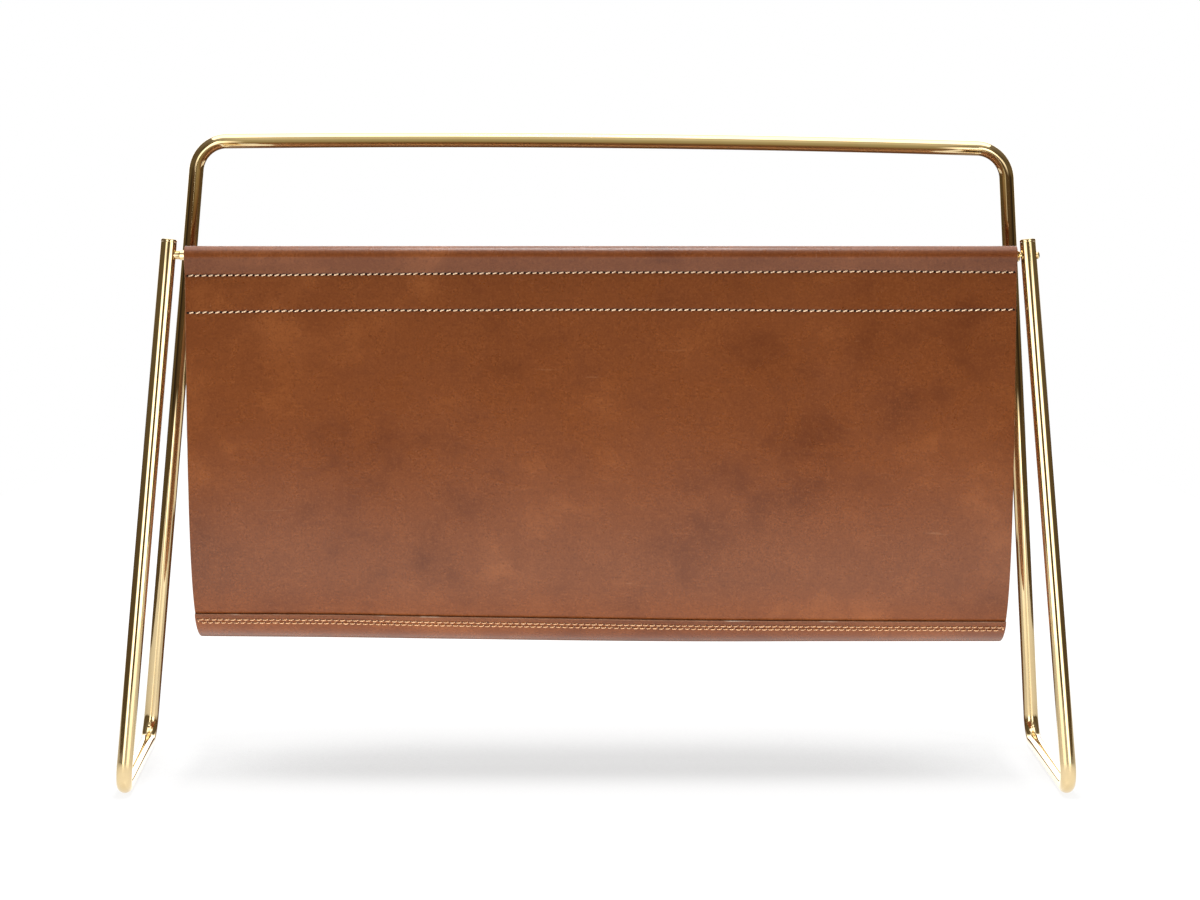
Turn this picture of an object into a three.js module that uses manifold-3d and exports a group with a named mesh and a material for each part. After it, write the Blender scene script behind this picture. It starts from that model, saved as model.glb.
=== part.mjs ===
// Magazine basket: a leather sling hung from two rods in a frame bent from one brass tube.
// Millimetres. +Z is up, +X runs along the basket and the front faces -Y.
// The origin is on the floor, midway between the arch's feet and midway between front and back.

import * as THREE from 'three';
import * as BufferGeometryUtils from 'three/addons/utils/BufferGeometryUtils.js';
import Module from 'manifold-3d';

const wasm = await Module();
wasm.setup();

// Clearances
const seatGap = 0.3;        // between two pieces that touch
const cutOverrun = 2;       // how far a cutting shape runs past the face that it opens

// Frame tube
const tubeDiameter = 9.5;
const tubeWall = 1.2;
const tubeSides = 16;
const boreSides = 12;
const floorBendRadius = 16;
const handleBendRadius = 20;
const bendSteps = 8;

// Frame stance: the posts lean back and the arch leans forward by the same angle
const baseDepth = 176;
const uprightLeanDeg = 3.7;
const rodHeight = 326;
const postRise = 9.5;       // of the post tops above the rods
const handleRise = 73.2;    // of the handle's axis above the rods, as the mean of its two shoulders

// Width: from the sling out to the posts, and from there down to the feet
const leftEndGap = 5.6;     // between the left post and the sling, at rod height
const rightEndGap = 2.6;
const postSplay = 26;       // how far outward each post runs from the rods down to the floor
const runnerSplay = 12;     // how far outward each runner runs from front to back
const shoulderSpread = 4.15; // how far outside its post each shoulder of the arch lies

// The frame is hand-bent: these middles sit a little right of the middle of the arch's feet
const postShift = 5.2;
const postFootShift = 4;
const archShoulderShift = 7.6;
const handleFall = 5;       // how much lower the right shoulder is
const handleCrown = 3;      // rise of the bar between the shoulders
const handleSteps = 12;

// Post plugs
const plugCapHeight = 1.5;
const plugStemLength = 4;
const plugChamfer = 0.4;

// Hem rods and their screws
const rodDiameter = 6;
const neckDiameter = 5;
const neckShowing = 2.4;    // bare neck between the left upright and the rod's shoulder
const rodChamfer = 0.4;
const screwDiameter = 3;
const screwReach = 12;      // thread inside the rod
const screwHeadDiameter = 5.6;
const screwHeadHeight = 1.5;
const roundSides = 24;
const domeSteps = 5;

// Leather
const leatherThickness = 2.2;
const slingWidth = 500;
const hemFilletRadius = 4;  // where the outer face turns in below the rod
const hemFlapLength = 28;   // straight flap sewn behind the panel, below the fillet
const wallLeanDeg = 0.3;
const wallReachShare = 0.782;  // of the sling's drop: how far the wall keeps its starting direction
const baseFlatShare = 0.206;   // of half the distance between the walls' tops: the level part of the base
const baseReachShare = 0.786;  // of the rest: how far the base keeps its direction into the turn
const slingHeight = 88.7;   // height of the panels' mid line where it runs level
const seamArc = 34.5;       // along the turn, from the flat base up to the base strip's cut edge
const lapLength = 13;       // overlap of base strip and panel
const wallSteps = 26;
const turnSteps = 13;
const rodWrapSteps = 14;
const filletSteps = 4;

// Thread
const threadDiameter = 0.8;
const hemRowUpper = 3.1;    // below the end of the fillet
const hemRowLower = 25.9;
const seamRowNear = 2.8;    // below the base strip's cut edge
const seamRowFar = 5.4;
const rowInset = 2.5;       // from the side edge of the leather to the first stitch

const degrees = Math.PI / 180;
const tubeRadius = tubeDiameter / 2;
const boreRadius = tubeRadius - tubeWall;
const rodRadius = rodDiameter / 2;
const halfDepth = baseDepth / 2;
const lean = Math.tan(uprightLeanDeg * degrees);
const slingMiddle = postShift + (leftEndGap - rightEndGap) / 2;
const postTopHeight = rodHeight + postRise;
const handleHeight = rodHeight + handleRise;
const postSpan = slingWidth + leftEndGap + rightEndGap + tubeDiameter;
const postFootSpan = postSpan + 2 * postSplay;
const archFootSpan = postFootSpan + 2 * runnerSplay;
const archShoulderSpan = postSpan + 2 * shoulderSpread;
const xAxis = new THREE.Vector3(1, 0, 0);
const yAxis = new THREE.Vector3(0, 1, 0);
const zAxis = new THREE.Vector3(0, 0, 1);

const brass = new THREE.MeshStandardMaterial({ color: 0xd9a944, roughness: 0.12, metalness: 1 });
const leather = new THREE.MeshStandardMaterial({ color: 0x8c5230, roughness: 0.55, metalness: 0 });
const thread = new THREE.MeshStandardMaterial({ color: 0xd8b48a, roughness: 0.8, metalness: 0 });

const basket = new THREE.Group();

function addPiece(name, geometry, material) {
  const mesh = new THREE.Mesh(geometry, material);
  mesh.name = name;
  basket.add(mesh);
  return mesh;
}

// Solids from triangle meshes, for cutting

function toSolid(geometry) {
  const bare = geometry.clone();
  bare.deleteAttribute('normal');
  bare.deleteAttribute('uv');
  const merged = BufferGeometryUtils.mergeVertices(bare);
  return new wasm.Manifold(new wasm.Mesh({
    numProp: 3,
    vertProperties: new Float32Array(merged.attributes.position.array),
    triVerts: new Uint32Array(merged.index.array),
  }));
}

function toGeometry(solid) {
  const mesh = solid.getMesh();
  const geometry = new THREE.BufferGeometry();
  geometry.setAttribute('position', new THREE.BufferAttribute(mesh.vertProperties, mesh.numProp));
  geometry.setIndex(new THREE.BufferAttribute(mesh.triVerts, 1));
  geometry.computeVertexNormals();
  return geometry;
}

// A round bar along X, from one x to the other, about the line through (y, z)

function roundBar(radius, fromX, toX, y, z) {
  const bar = new THREE.CylinderGeometry(radius, radius, toX - fromX, roundSides);
  bar.rotateZ(-Math.PI / 2);
  bar.translate((fromX + toX) / 2, y, z);
  return bar;
}

// Places on the frame. A side is -1 on the left and 1 on the right.

function postX(side, z) {
  const share = (z - tubeRadius) / (rodHeight - tubeRadius);
  const foot = postFootShift + side * postFootSpan / 2;
  const seat = postShift + side * postSpan / 2;
  return foot + (seat - foot) * share;
}

const frontY = (z) => -halfDepth + (z - tubeRadius) * lean;
const backY = (z) => -frontY(z);
const footX = (side) => side * archFootSpan / 2;
const shoulderX = (side) => archShoulderShift + side * archShoulderSpan / 2;
const shoulderZ = (side) => handleHeight - side * handleFall / 2;

function legX(side, z) {
  const share = (z - tubeRadius) / (shoulderZ(side) - tubeRadius);
  return THREE.MathUtils.lerp(footX(side), shoulderX(side), share);
}

function frameCorners() {
  const side = (s) => [
    { at: new THREE.Vector3(postX(s, postTopHeight), frontY(postTopHeight), postTopHeight) },
    { at: new THREE.Vector3(postX(s, tubeRadius), -halfDepth, tubeRadius), radius: floorBendRadius },
    { at: new THREE.Vector3(footX(s), halfDepth, tubeRadius), radius: floorBendRadius },
    { at: new THREE.Vector3(shoulderX(s), backY(shoulderZ(s)), shoulderZ(s)), radius: handleBendRadius },
  ];
  return [...side(-1), ...side(1).reverse()];
}

// The tube's axis: straight runs joined by round bends, with one ring of the tube at each point.
// Rings on the posts, runners and lower legs keep a facet square to X, the rest one square to Y,
// so that each runner rests on a level facet.

const leftShoulder = 3;

function axisRings(corners, plugged) {
  const rings = [];
  const ring = (at, along, onArch) => rings.push({ at, along, onArch });
  const first = corners[0].at;
  const last = corners[corners.length - 1].at;
  const startWay = corners[1].at.clone().sub(first).normalize();
  const endWay = last.clone().sub(corners[corners.length - 2].at).normalize();
  ring(first.clone().addScaledVector(startWay, plugged), startWay, false);
  for (let i = 1; i < corners.length - 1; i += 1) {
    const { at, radius } = corners[i];
    const onArch = i === leftShoulder || i === leftShoulder + 1;
    const wayIn = at.clone().sub(corners[i - 1].at).normalize();
    const wayOut = corners[i + 1].at.clone().sub(at).normalize();
    const turn = wayIn.angleTo(wayOut);
    const centre = wayOut.clone().sub(wayIn).normalize()
      .multiplyScalar(radius / Math.cos(turn / 2)).add(at);
    const outward = at.clone().sub(centre).normalize();
    const spin = wayIn.clone().cross(wayOut).normalize();
    for (let step = 0; step <= bendSteps; step += 1) {
      const angle = turn * (step / bendSteps - 1 / 2);
      const spoke = outward.clone().applyAxisAngle(spin, angle);
      const along = spin.clone().cross(spoke);
      ring(centre.clone().addScaledVector(spoke, radius), along, onArch);
    }
    if (i === leftShoulder) {
      const from = rings[rings.length - 1].at;
      const to = corners[i + 1].at.clone();
      const nextTurn = wayOut.angleTo(corners[i + 2].at.clone().sub(to));
      to.addScaledVector(wayOut, -radius * Math.tan(nextTurn / 2));
      for (let step = 1; step < handleSteps; step += 1) {
        ring(from.clone().lerp(to, step / handleSteps), wayOut, true);
      }
    }
  }
  ring(last.clone().addScaledVector(endWay, -plugged), endWay, false);
  for (const { at, onArch } of rings) {
    const share = (at.x - archShoulderShift) / (archShoulderSpan / 2);
    if (onArch) at.z += handleCrown * Math.max(0, 1 - share * share);
  }
  return rings;
}

function sweepTube(rings, radius, sides) {
  const cornerRadius = radius / Math.cos(Math.PI / sides);
  const positions = [];
  const faces = [];
  rings.forEach(({ at, along, onArch }, i) => {
    const half = i < rings.length / 2 ? 1 : -1;
    const across = new THREE.Vector3();
    const upward = new THREE.Vector3();
    if (onArch) {
      upward.copy(yAxis).addScaledVector(along, -yAxis.dot(along)).normalize();
      across.crossVectors(upward, along);
    } else {
      across.copy(xAxis).multiplyScalar(half);
      across.addScaledVector(along, -across.dot(along)).normalize();
      upward.crossVectors(along, across);
    }
    for (let k = 0; k < sides; k += 1) {
      const angle = (k + 1 / 2) * 2 * Math.PI / sides;
      const corner = at.clone()
        .addScaledVector(across, cornerRadius * Math.cos(angle))
        .addScaledVector(upward, cornerRadius * Math.sin(angle));
      positions.push(corner.x, corner.y, corner.z);
      if (i === 0) continue;
      const next = (k + 1) % sides;
      const low = (i - 1) * sides;
      const high = i * sides;
      faces.push(low + k, low + next, high + next, low + k, high + next, high + k);
    }
  });
  const end = (rings.length - 1) * sides;
  for (let k = 1; k < sides - 1; k += 1) {
    faces.push(0, k + 1, k, end, end + k, end + k + 1);
  }
  const geometry = new THREE.BufferGeometry();
  geometry.setAttribute('position', new THREE.Float32BufferAttribute(positions, 3));
  geometry.setIndex(faces);
  return geometry;
}

// Frame: the swept tube, its bore, and the holes for the rods' necks and screws

function buildFrame() {
  const corners = frameCorners();
  const plugged = plugCapHeight + seatGap;
  const outer = toSolid(sweepTube(axisRings(corners, plugged), tubeRadius, tubeSides));
  const bore = toSolid(sweepTube(axisRings(corners, plugged - cutOverrun), boreRadius, boreSides));
  let tube = outer.subtract(bore);
  for (const { y, leftX, rightX } of rodSeats()) {
    const neckHole = roundBar(neckDiameter / 2 + seatGap, leftX, leftX + tubeDiameter, y, rodHeight);
    const screwHole = roundBar(screwDiameter / 2 + seatGap, rightX - tubeDiameter, rightX + tubeDiameter,
      y, rodHeight);
    tube = tube.subtract(toSolid(neckHole)).subtract(toSolid(screwHole));
  }
  addPiece('frame_tube', toGeometry(tube), brass);
}

// Where each rod crosses the frame: between the posts and between the arch's legs

function rodSeats() {
  return [['front', frontY, postX], ['back', backY, legX]].map(([name, uprightY, uprightX]) => {
    const leftX = uprightX(-1, rodHeight);
    const rightX = uprightX(1, rodHeight);
    const below = rodHeight - tubeDiameter;
    const tilt = Math.max(leftX - uprightX(-1, below), uprightX(1, below) - rightX) / tubeDiameter;
    return { name, y: uprightY(rodHeight), leftX, rightX, tilt };
  });
}

// Plugs that close the post tops

function buildPlugs() {
  const stemRadius = boreRadius - seatGap;
  const profile = [
    [0, -plugCapHeight - plugStemLength],
    [stemRadius - plugChamfer, -plugCapHeight - plugStemLength],
    [stemRadius, -plugCapHeight - plugStemLength + plugChamfer],
    [stemRadius, -plugCapHeight],
    [tubeRadius, -plugCapHeight],
    [tubeRadius, -plugChamfer],
    [tubeRadius - plugChamfer, 0],
    [0, 0],
  ].map(([r, z]) => new THREE.Vector2(r, z));
  for (const [side, name] of [[-1, 'left_post_plug'], [1, 'right_post_plug']]) {
    const plug = addPiece(name, new THREE.LatheGeometry(profile, roundSides), brass);
    const top = new THREE.Vector3(postX(side, postTopHeight), frontY(postTopHeight), postTopHeight);
    const foot = new THREE.Vector3(postX(side, tubeRadius), -halfDepth, tubeRadius);
    plug.position.copy(top);
    plug.quaternion.setFromUnitVectors(yAxis, top.clone().sub(foot).normalize());
  }
}

// Hem rods, each with a neck in its left upright and a tapped end for the screw at its right one

function buildRods() {
  const rodBore = screwDiameter / 2 + seatGap;
  const neckRadius = neckDiameter / 2;
  const neckDepth = Math.sqrt(boreRadius ** 2 - neckRadius ** 2);
  const tubeReach = tubeRadius / Math.cos(Math.PI / tubeSides);
  for (const { name, y, leftX, rightX, tilt } of rodSeats()) {
    const neckEnd = leftX - neckDepth + seatGap + neckRadius * tilt;
    const shoulder = leftX + tubeReach + neckShowing;
    const rightEnd = rightX - tubeReach - seatGap - rodRadius * tilt;
    const boreEnd = rightEnd - screwReach - seatGap;
    const profile = [
      [0, neckEnd],
      [neckRadius, neckEnd],
      [neckRadius, shoulder],
      [rodRadius - rodChamfer, shoulder],
      [rodRadius, shoulder + rodChamfer],
      [rodRadius, rightEnd],
      [rodBore, rightEnd],
      [rodBore, boreEnd],
      [0, boreEnd],
    ].map(([r, x]) => new THREE.Vector2(r, x));
    const rod = addPiece(`${name}_hem_rod`, new THREE.LatheGeometry(profile, roundSides), brass);
    rod.rotation.z = -Math.PI / 2;
    rod.position.set(0, y, rodHeight);

    const headRadius = screwHeadDiameter / 2;
    const headSeat = rightX + tubeReach + seatGap + headRadius * tilt;
    const screwProfile = [[0, rightEnd - screwReach], [screwDiameter / 2, rightEnd - screwReach],
      [screwDiameter / 2, headSeat], [headRadius, headSeat]];
    for (let step = 1; step <= domeSteps; step += 1) {
      const angle = step / domeSteps * Math.PI / 2;
      screwProfile.push([headRadius * Math.cos(angle), headSeat + screwHeadHeight * Math.sin(angle)]);
    }
    screwProfile[screwProfile.length - 1][0] = 0;
    const screwPoints = screwProfile.map(([r, x]) => new THREE.Vector2(r, x));
    const screw = addPiece(`${name}_rod_screw`, new THREE.LatheGeometry(screwPoints, roundSides), brass);
    screw.rotation.z = -Math.PI / 2;
    screw.position.set(0, y, rodHeight);
  }
}

// The sling's front half in the (y, z) plane. The back half is its mirror image.

const hemLean = wallLeanDeg * degrees;
const hemDown = new THREE.Vector2(Math.sin(hemLean), -Math.cos(hemLean));
const hemOut = new THREE.Vector2(-Math.cos(hemLean), -Math.sin(hemLean));
const rodCentre = new THREE.Vector2(frontY(rodHeight), rodHeight);
const wrapRadius = rodRadius + seatGap + leatherThickness / 2;
const filletMid = hemFilletRadius + leatherThickness / 2;
const layerOffset = (leatherThickness + seatGap) / 2;
const filletDrop = Math.sqrt((wrapRadius + filletMid) ** 2 - (layerOffset + filletMid) ** 2);

function hemPoint(out, down) {
  return rodCentre.clone().addScaledVector(hemOut, out).addScaledVector(hemDown, down);
}

const wallStart = hemPoint(layerOffset, filletDrop);
const baseEdge = new THREE.Vector2(wallStart.x * baseFlatShare, slingHeight);
const baseReach = (baseEdge.x - wallStart.x) * baseReachShare;
const wall = new THREE.CubicBezierCurve(
  wallStart,
  wallStart.clone().addScaledVector(hemDown, (wallStart.y - slingHeight) * wallReachShare),
  baseEdge.clone().add(new THREE.Vector2(-baseReach, 0)),
  baseEdge,
);
wall.arcLengthDivisions = wallSteps * turnSteps;
const wallLength = wall.getLength();

// A point at a length along the wall, moved outward from the mid line

function wallPoint(length, out) {
  const share = THREE.MathUtils.clamp(length / wallLength, 0, 1);
  const at = wall.getPointAt(share);
  const way = wall.getTangentAt(share);
  return { at: at.clone().add(new THREE.Vector2(way.y, -way.x).multiplyScalar(out)), way };
}

function wallRun(fromLength, toLength, out, steps) {
  const points = [];
  for (let i = 0; i <= steps; i += 1) {
    points.push(wallPoint(THREE.MathUtils.lerp(fromLength, toLength, i / steps), out).at);
  }
  return points;
}

function arcRun(centre, radius, fromAngle, toAngle, steps) {
  const points = [];
  for (let i = 0; i <= steps; i += 1) {
    const angle = THREE.MathUtils.lerp(fromAngle, toAngle, i / steps);
    points.push(centre.clone()
      .addScaledVector(hemOut, radius * Math.cos(angle))
      .addScaledVector(hemDown, -radius * Math.sin(angle)));
  }
  return points;
}

// Mid line of the front panel: flap, fillet, wrap over the rod, fillet, wall

function panelMidLine() {
  const flapOffset = -(leatherThickness + seatGap);
  const sink = Math.asin(filletDrop / (wrapRadius + filletMid));
  const innerCentre = hemPoint(-layerOffset - filletMid, filletDrop);
  const outerCentre = hemPoint(layerOffset + filletMid, filletDrop);
  const flap = wallRun(hemFlapLength, 0, flapOffset, filletSteps);
  const innerFillet = arcRun(innerCentre, filletMid, 0, sink, filletSteps);
  const wrap = arcRun(rodCentre, wrapRadius, Math.PI + sink, -sink, rodWrapSteps);
  const outerFillet = arcRun(outerCentre, filletMid, Math.PI - sink, Math.PI, filletSteps);
  const down = wallRun(0, wallLength - seamArc + lapLength, 0, wallSteps);
  return [...flap, ...innerFillet.slice(1), ...wrap.slice(1), ...outerFillet.slice(1), ...down.slice(1)];
}

function baseMidLine() {
  const out = leatherThickness + seatGap;
  const front = wallRun(wallLength - seamArc, wallLength, out, turnSteps);
  return [...front, ...mirrorLine(front)];
}

function mirrorLine(points) {
  return points.map((p) => new THREE.Vector2(-p.x, p.y)).reverse();
}

// A strip of leather: the mid line thickened to both sides and run out to the sling's width.
// The outline's x and y become the basket's Y and Z, and its depth runs along X.

function stripGeometry(midLine, thickness, width) {
  const left = [];
  const right = [];
  midLine.forEach((point, i) => {
    const before = midLine[Math.max(0, i - 1)];
    const after = midLine[Math.min(midLine.length - 1, i + 1)];
    const way = after.clone().sub(before).normalize();
    const normal = new THREE.Vector2(-way.y, way.x).multiplyScalar(thickness / 2);
    left.push(point.clone().add(normal));
    right.push(point.clone().sub(normal));
  });
  const outline = new THREE.Shape([...left, ...right.reverse()]);
  const geometry = new THREE.ExtrudeGeometry(outline, { depth: width, bevelEnabled: false });
  geometry.applyMatrix4(new THREE.Matrix4().makeBasis(yAxis, zAxis, xAxis));
  return geometry;
}

function buildLeather() {
  const left = slingMiddle - slingWidth / 2;
  const frontLine = panelMidLine();
  const pieces = [
    ['front_panel', frontLine],
    ['base_panel', baseMidLine()],
    ['back_panel', mirrorLine(frontLine)],
  ];
  for (const [name, midLine] of pieces) {
    const piece = addPiece(name, stripGeometry(midLine, leatherThickness, slingWidth), leather);
    piece.position.x = left;
  }
}

// Thread: a hem row is a plain bar, and the seam's double row is one closed loop.
// Each lies just off the leather's outer face at its place along the wall.

function addThread(name, geometry, length, lift, mirrored) {
  const { at, way } = wallPoint(length, lift);
  const outward = new THREE.Vector3(0, way.y, -way.x);
  const downward = new THREE.Vector3(0, way.x, way.y);
  const y = mirrored ? -at.x : at.x;
  if (mirrored) {
    outward.y *= -1;
    downward.y *= -1;
  }
  const piece = addPiece(name, geometry, thread);
  const across = downward.clone().cross(outward);
  piece.quaternion.setFromRotationMatrix(new THREE.Matrix4().makeBasis(across, downward, outward));
  piece.position.set(slingMiddle, y, at.y);
}

function hemRowGeometry() {
  return new THREE.BoxGeometry(slingWidth - 2 * rowInset, threadDiameter, threadDiameter);
}

function seamLoopGeometry() {
  const halfLength = slingWidth / 2 - rowInset;
  const halfGap = (seamRowFar - seamRowNear) / 2;
  const frame = (halfX, halfY) => [
    new THREE.Vector2(-halfX, -halfY), new THREE.Vector2(halfX, -halfY),
    new THREE.Vector2(halfX, halfY), new THREE.Vector2(-halfX, halfY),
  ];
  const half = threadDiameter / 2;
  const loop = new THREE.Shape(frame(halfLength, halfGap + half));
  loop.holes.push(new THREE.Path(frame(halfLength - threadDiameter, halfGap - half)));
  const geometry = new THREE.ExtrudeGeometry(loop, { depth: threadDiameter, bevelEnabled: false });
  geometry.translate(0, 0, -half);
  return geometry;
}

function buildThreads() {
  const overPanel = leatherThickness / 2 + seatGap + threadDiameter / 2;
  const overBase = overPanel + leatherThickness + seatGap;
  const seamMiddle = wallLength - seamArc + (seamRowNear + seamRowFar) / 2;
  for (const [end, mirrored] of [['front', false], ['back', true]]) {
    addThread(`${end}_hem_thread_upper`, hemRowGeometry(), hemRowUpper, overPanel, mirrored);
    addThread(`${end}_hem_thread_lower`, hemRowGeometry(), hemRowLower, overPanel, mirrored);
    addThread(`${end}_seam_thread`, seamLoopGeometry(), seamMiddle, overBase, mirrored);
  }
}

buildFrame();
buildPlugs();
buildRods();
buildLeather();
buildThreads();

export default basket;
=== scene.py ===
# Magazine basket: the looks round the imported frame. Blender's units are metres. The basket's sizes below are
# in millimetres, the studio's in metres. +Z is up, +X runs along the basket and the front faces -Y.
import math

import bpy
import numpy as np
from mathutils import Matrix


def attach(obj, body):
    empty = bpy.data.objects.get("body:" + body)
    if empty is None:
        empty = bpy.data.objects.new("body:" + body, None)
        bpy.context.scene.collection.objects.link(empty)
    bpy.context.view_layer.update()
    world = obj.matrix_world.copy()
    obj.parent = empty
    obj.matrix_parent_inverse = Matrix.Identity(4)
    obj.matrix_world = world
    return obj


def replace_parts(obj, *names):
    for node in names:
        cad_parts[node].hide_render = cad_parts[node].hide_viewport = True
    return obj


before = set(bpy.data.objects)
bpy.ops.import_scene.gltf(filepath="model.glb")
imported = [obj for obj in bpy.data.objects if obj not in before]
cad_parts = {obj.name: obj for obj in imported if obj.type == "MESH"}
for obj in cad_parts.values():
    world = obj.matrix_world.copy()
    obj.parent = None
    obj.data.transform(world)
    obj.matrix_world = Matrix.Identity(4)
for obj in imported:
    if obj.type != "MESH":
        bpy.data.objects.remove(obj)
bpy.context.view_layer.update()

MM = 0.001
BODY = "root"

# Frame tube
TUBE_RADIUS = 4.75
BORE_RADIUS = 3.55
TUBE_SIDES = 56
FLOOR_BEND_RADIUS = 16.0
HANDLE_BEND_RADIUS = 20.0
BEND_STEPS = 26
RUN_STEP = 9.0
BEND_FLATTENING = 0.035
BULGE_SHARE = 0.3
HALF_DEPTH = 88.0
LEAN = math.tan(math.radians(3.7))
ROD_HEIGHT = 326.0
POST_TOP = 335.5
POST_SEAT = (5.2, 258.85)
POST_FOOT = (4.0, 284.85)
ARCH_FOOT = (0.0, 296.85)
ARCH_SHOULDER = (7.6, 263.0)
SHOULDER_HEIGHT = 399.2
HANDLE_FALL = 5.0
HANDLE_CROWN = 3.0

# Small brass parts
SEAT_GAP = 0.3
PLUG_CAP = 1.5
PLUG_STEM = 4.0
PLUG_LEAD = 0.4
PLUG_SKIRT_ROUND = 0.12
PLUG_TOP_ROUND = 0.45
PLUG_FLAT_RADIUS = 2.4
ROD_RADIUS = 3.0
ROD_SHOULDER_ROUND = 0.35
ROD_END_ROUND = 0.4
ROD_END_LENGTH = 1.7
ROD_END_STEPS = ((2.2, 0.35), (2.1, 0.1), (2.0, 0.0))
NECK_RADIUS = 2.5
NECK_LEAD = 0.2
NECK_CORNER = ((0.0, 0.25), (0.07, 0.07))
NECK_SHOWING = 2.4
SCREW_RADIUS = 1.5
SCREW_LEAD = 0.3
SCREW_REACH = 12.0
HEAD_RADIUS = 2.35
HEAD_HEIGHT = 1.3
HEAD_GAP = 0.15
HEAD_EDGE = 0.1
DOME_ANGLE = 57.4
DOME_STEPS = 7
SOCKET_HALF = 1.0
SOCKET_DEPTH = 0.9
SOCKET_RIM = (0.12, 0.08)
SOCKET_POINT = 0.25
TURNED_SIDES = 64
DRILL_SIDES = 40
TRUE_WALL = 0.8

# Leather
LEATHER = 2.2
SLING_LEFT = -243.3
SLING_RIGHT = 256.7
HEM_FILLET = 4.0
HEM_FLAP = 28.0
WALL_LEAN = math.radians(0.3)
WALL_REACH_SHARE = 0.782
BASE_FLAT_SHARE = 0.206
BASE_REACH_SHARE = 0.786
SLING_HEIGHT = 88.7
SEAM_ARC = 34.5
LAP = 13.0
EDGE_ROUND = 0.5
BASE_BEVEL = 1.0
BASE_SPARE = 6.0
CROSS_STEP = 2.2
BASE_STEP = 2.4
HEM_PULLED = (-9.0, 8.0)

# Stitches
ROW_INSET = 1.7
ROW_REACH = 7.0
STITCH_COUNT = 125
HEM_ROW_UPPER = 3.1
HEM_ROW_LOWER = 25.9
SEAM_ROW_NEAR = 2.8
SEAM_ROW_FAR = 5.4
THREAD_RADIUS = 0.43
SEAM_PHASE = 0.45
HOLE_HALF_LENGTH = 0.80
HOLE_HALF_WIDTH = 0.60
FIRST_HOLE = SLING_LEFT + ROW_INSET
PITCH = (SLING_RIGHT - SLING_LEFT - 2 * ROW_INSET) / STITCH_COUNT


def smoothstep(low, high, value):
    share = np.clip((value - low) / (high - low), 0.0, 1.0)
    return share * share * (3 - 2 * share)


def unit(vectors):
    return vectors / np.linalg.norm(vectors, axis=-1, keepdims=True)


def run_length(points):
    """The length along a line up to each of its points."""
    return np.concatenate([[0.0], np.cumsum(np.linalg.norm(np.diff(points, axis=0), axis=1))])


def turn_angles(count):
    return np.linspace(0, 2 * math.pi, count, endpoint=False)


def ring_faces(first, second, count):
    """Quads between two rings of points, whose numbers start at first and at second."""
    return [(first + k, first + (k + 1) % count, second + (k + 1) % count, second + k) for k in range(count)]


def read(items, field, width=1, kind=float):
    """One field of all items as an array, with a row for each item where width is over 1."""
    values = np.empty(len(items) * width, dtype=kind)
    items.foreach_get(field, values)
    return values.reshape(-1, width) if width > 1 else values


def link(obj):
    bpy.context.scene.collection.objects.link(obj)
    return obj


def build_mesh(name, points, faces, materials, indices=None, uvs=None):
    """A smooth mesh object from points in millimetres. uvs is one pair per point, in metres."""
    mesh = bpy.data.meshes.new(name)
    mesh.from_pydata((np.asarray(points) * MM).tolist(), [], faces)
    for material in materials:
        mesh.materials.append(material)
    if indices is not None:
        mesh.polygons.foreach_set("material_index", np.asarray(indices, dtype=np.int32))
    if uvs is not None:
        layer = mesh.uv_layers.new(name="flat")
        corner = read(mesh.loops, "vertex_index", kind=np.int32)
        layer.data.foreach_set("uv", np.asarray(uvs, dtype=np.float32)[corner].ravel())
    mesh.shade_smooth()
    mesh.update()
    return link(bpy.data.objects.new(name, mesh))


# Node trees


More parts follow.
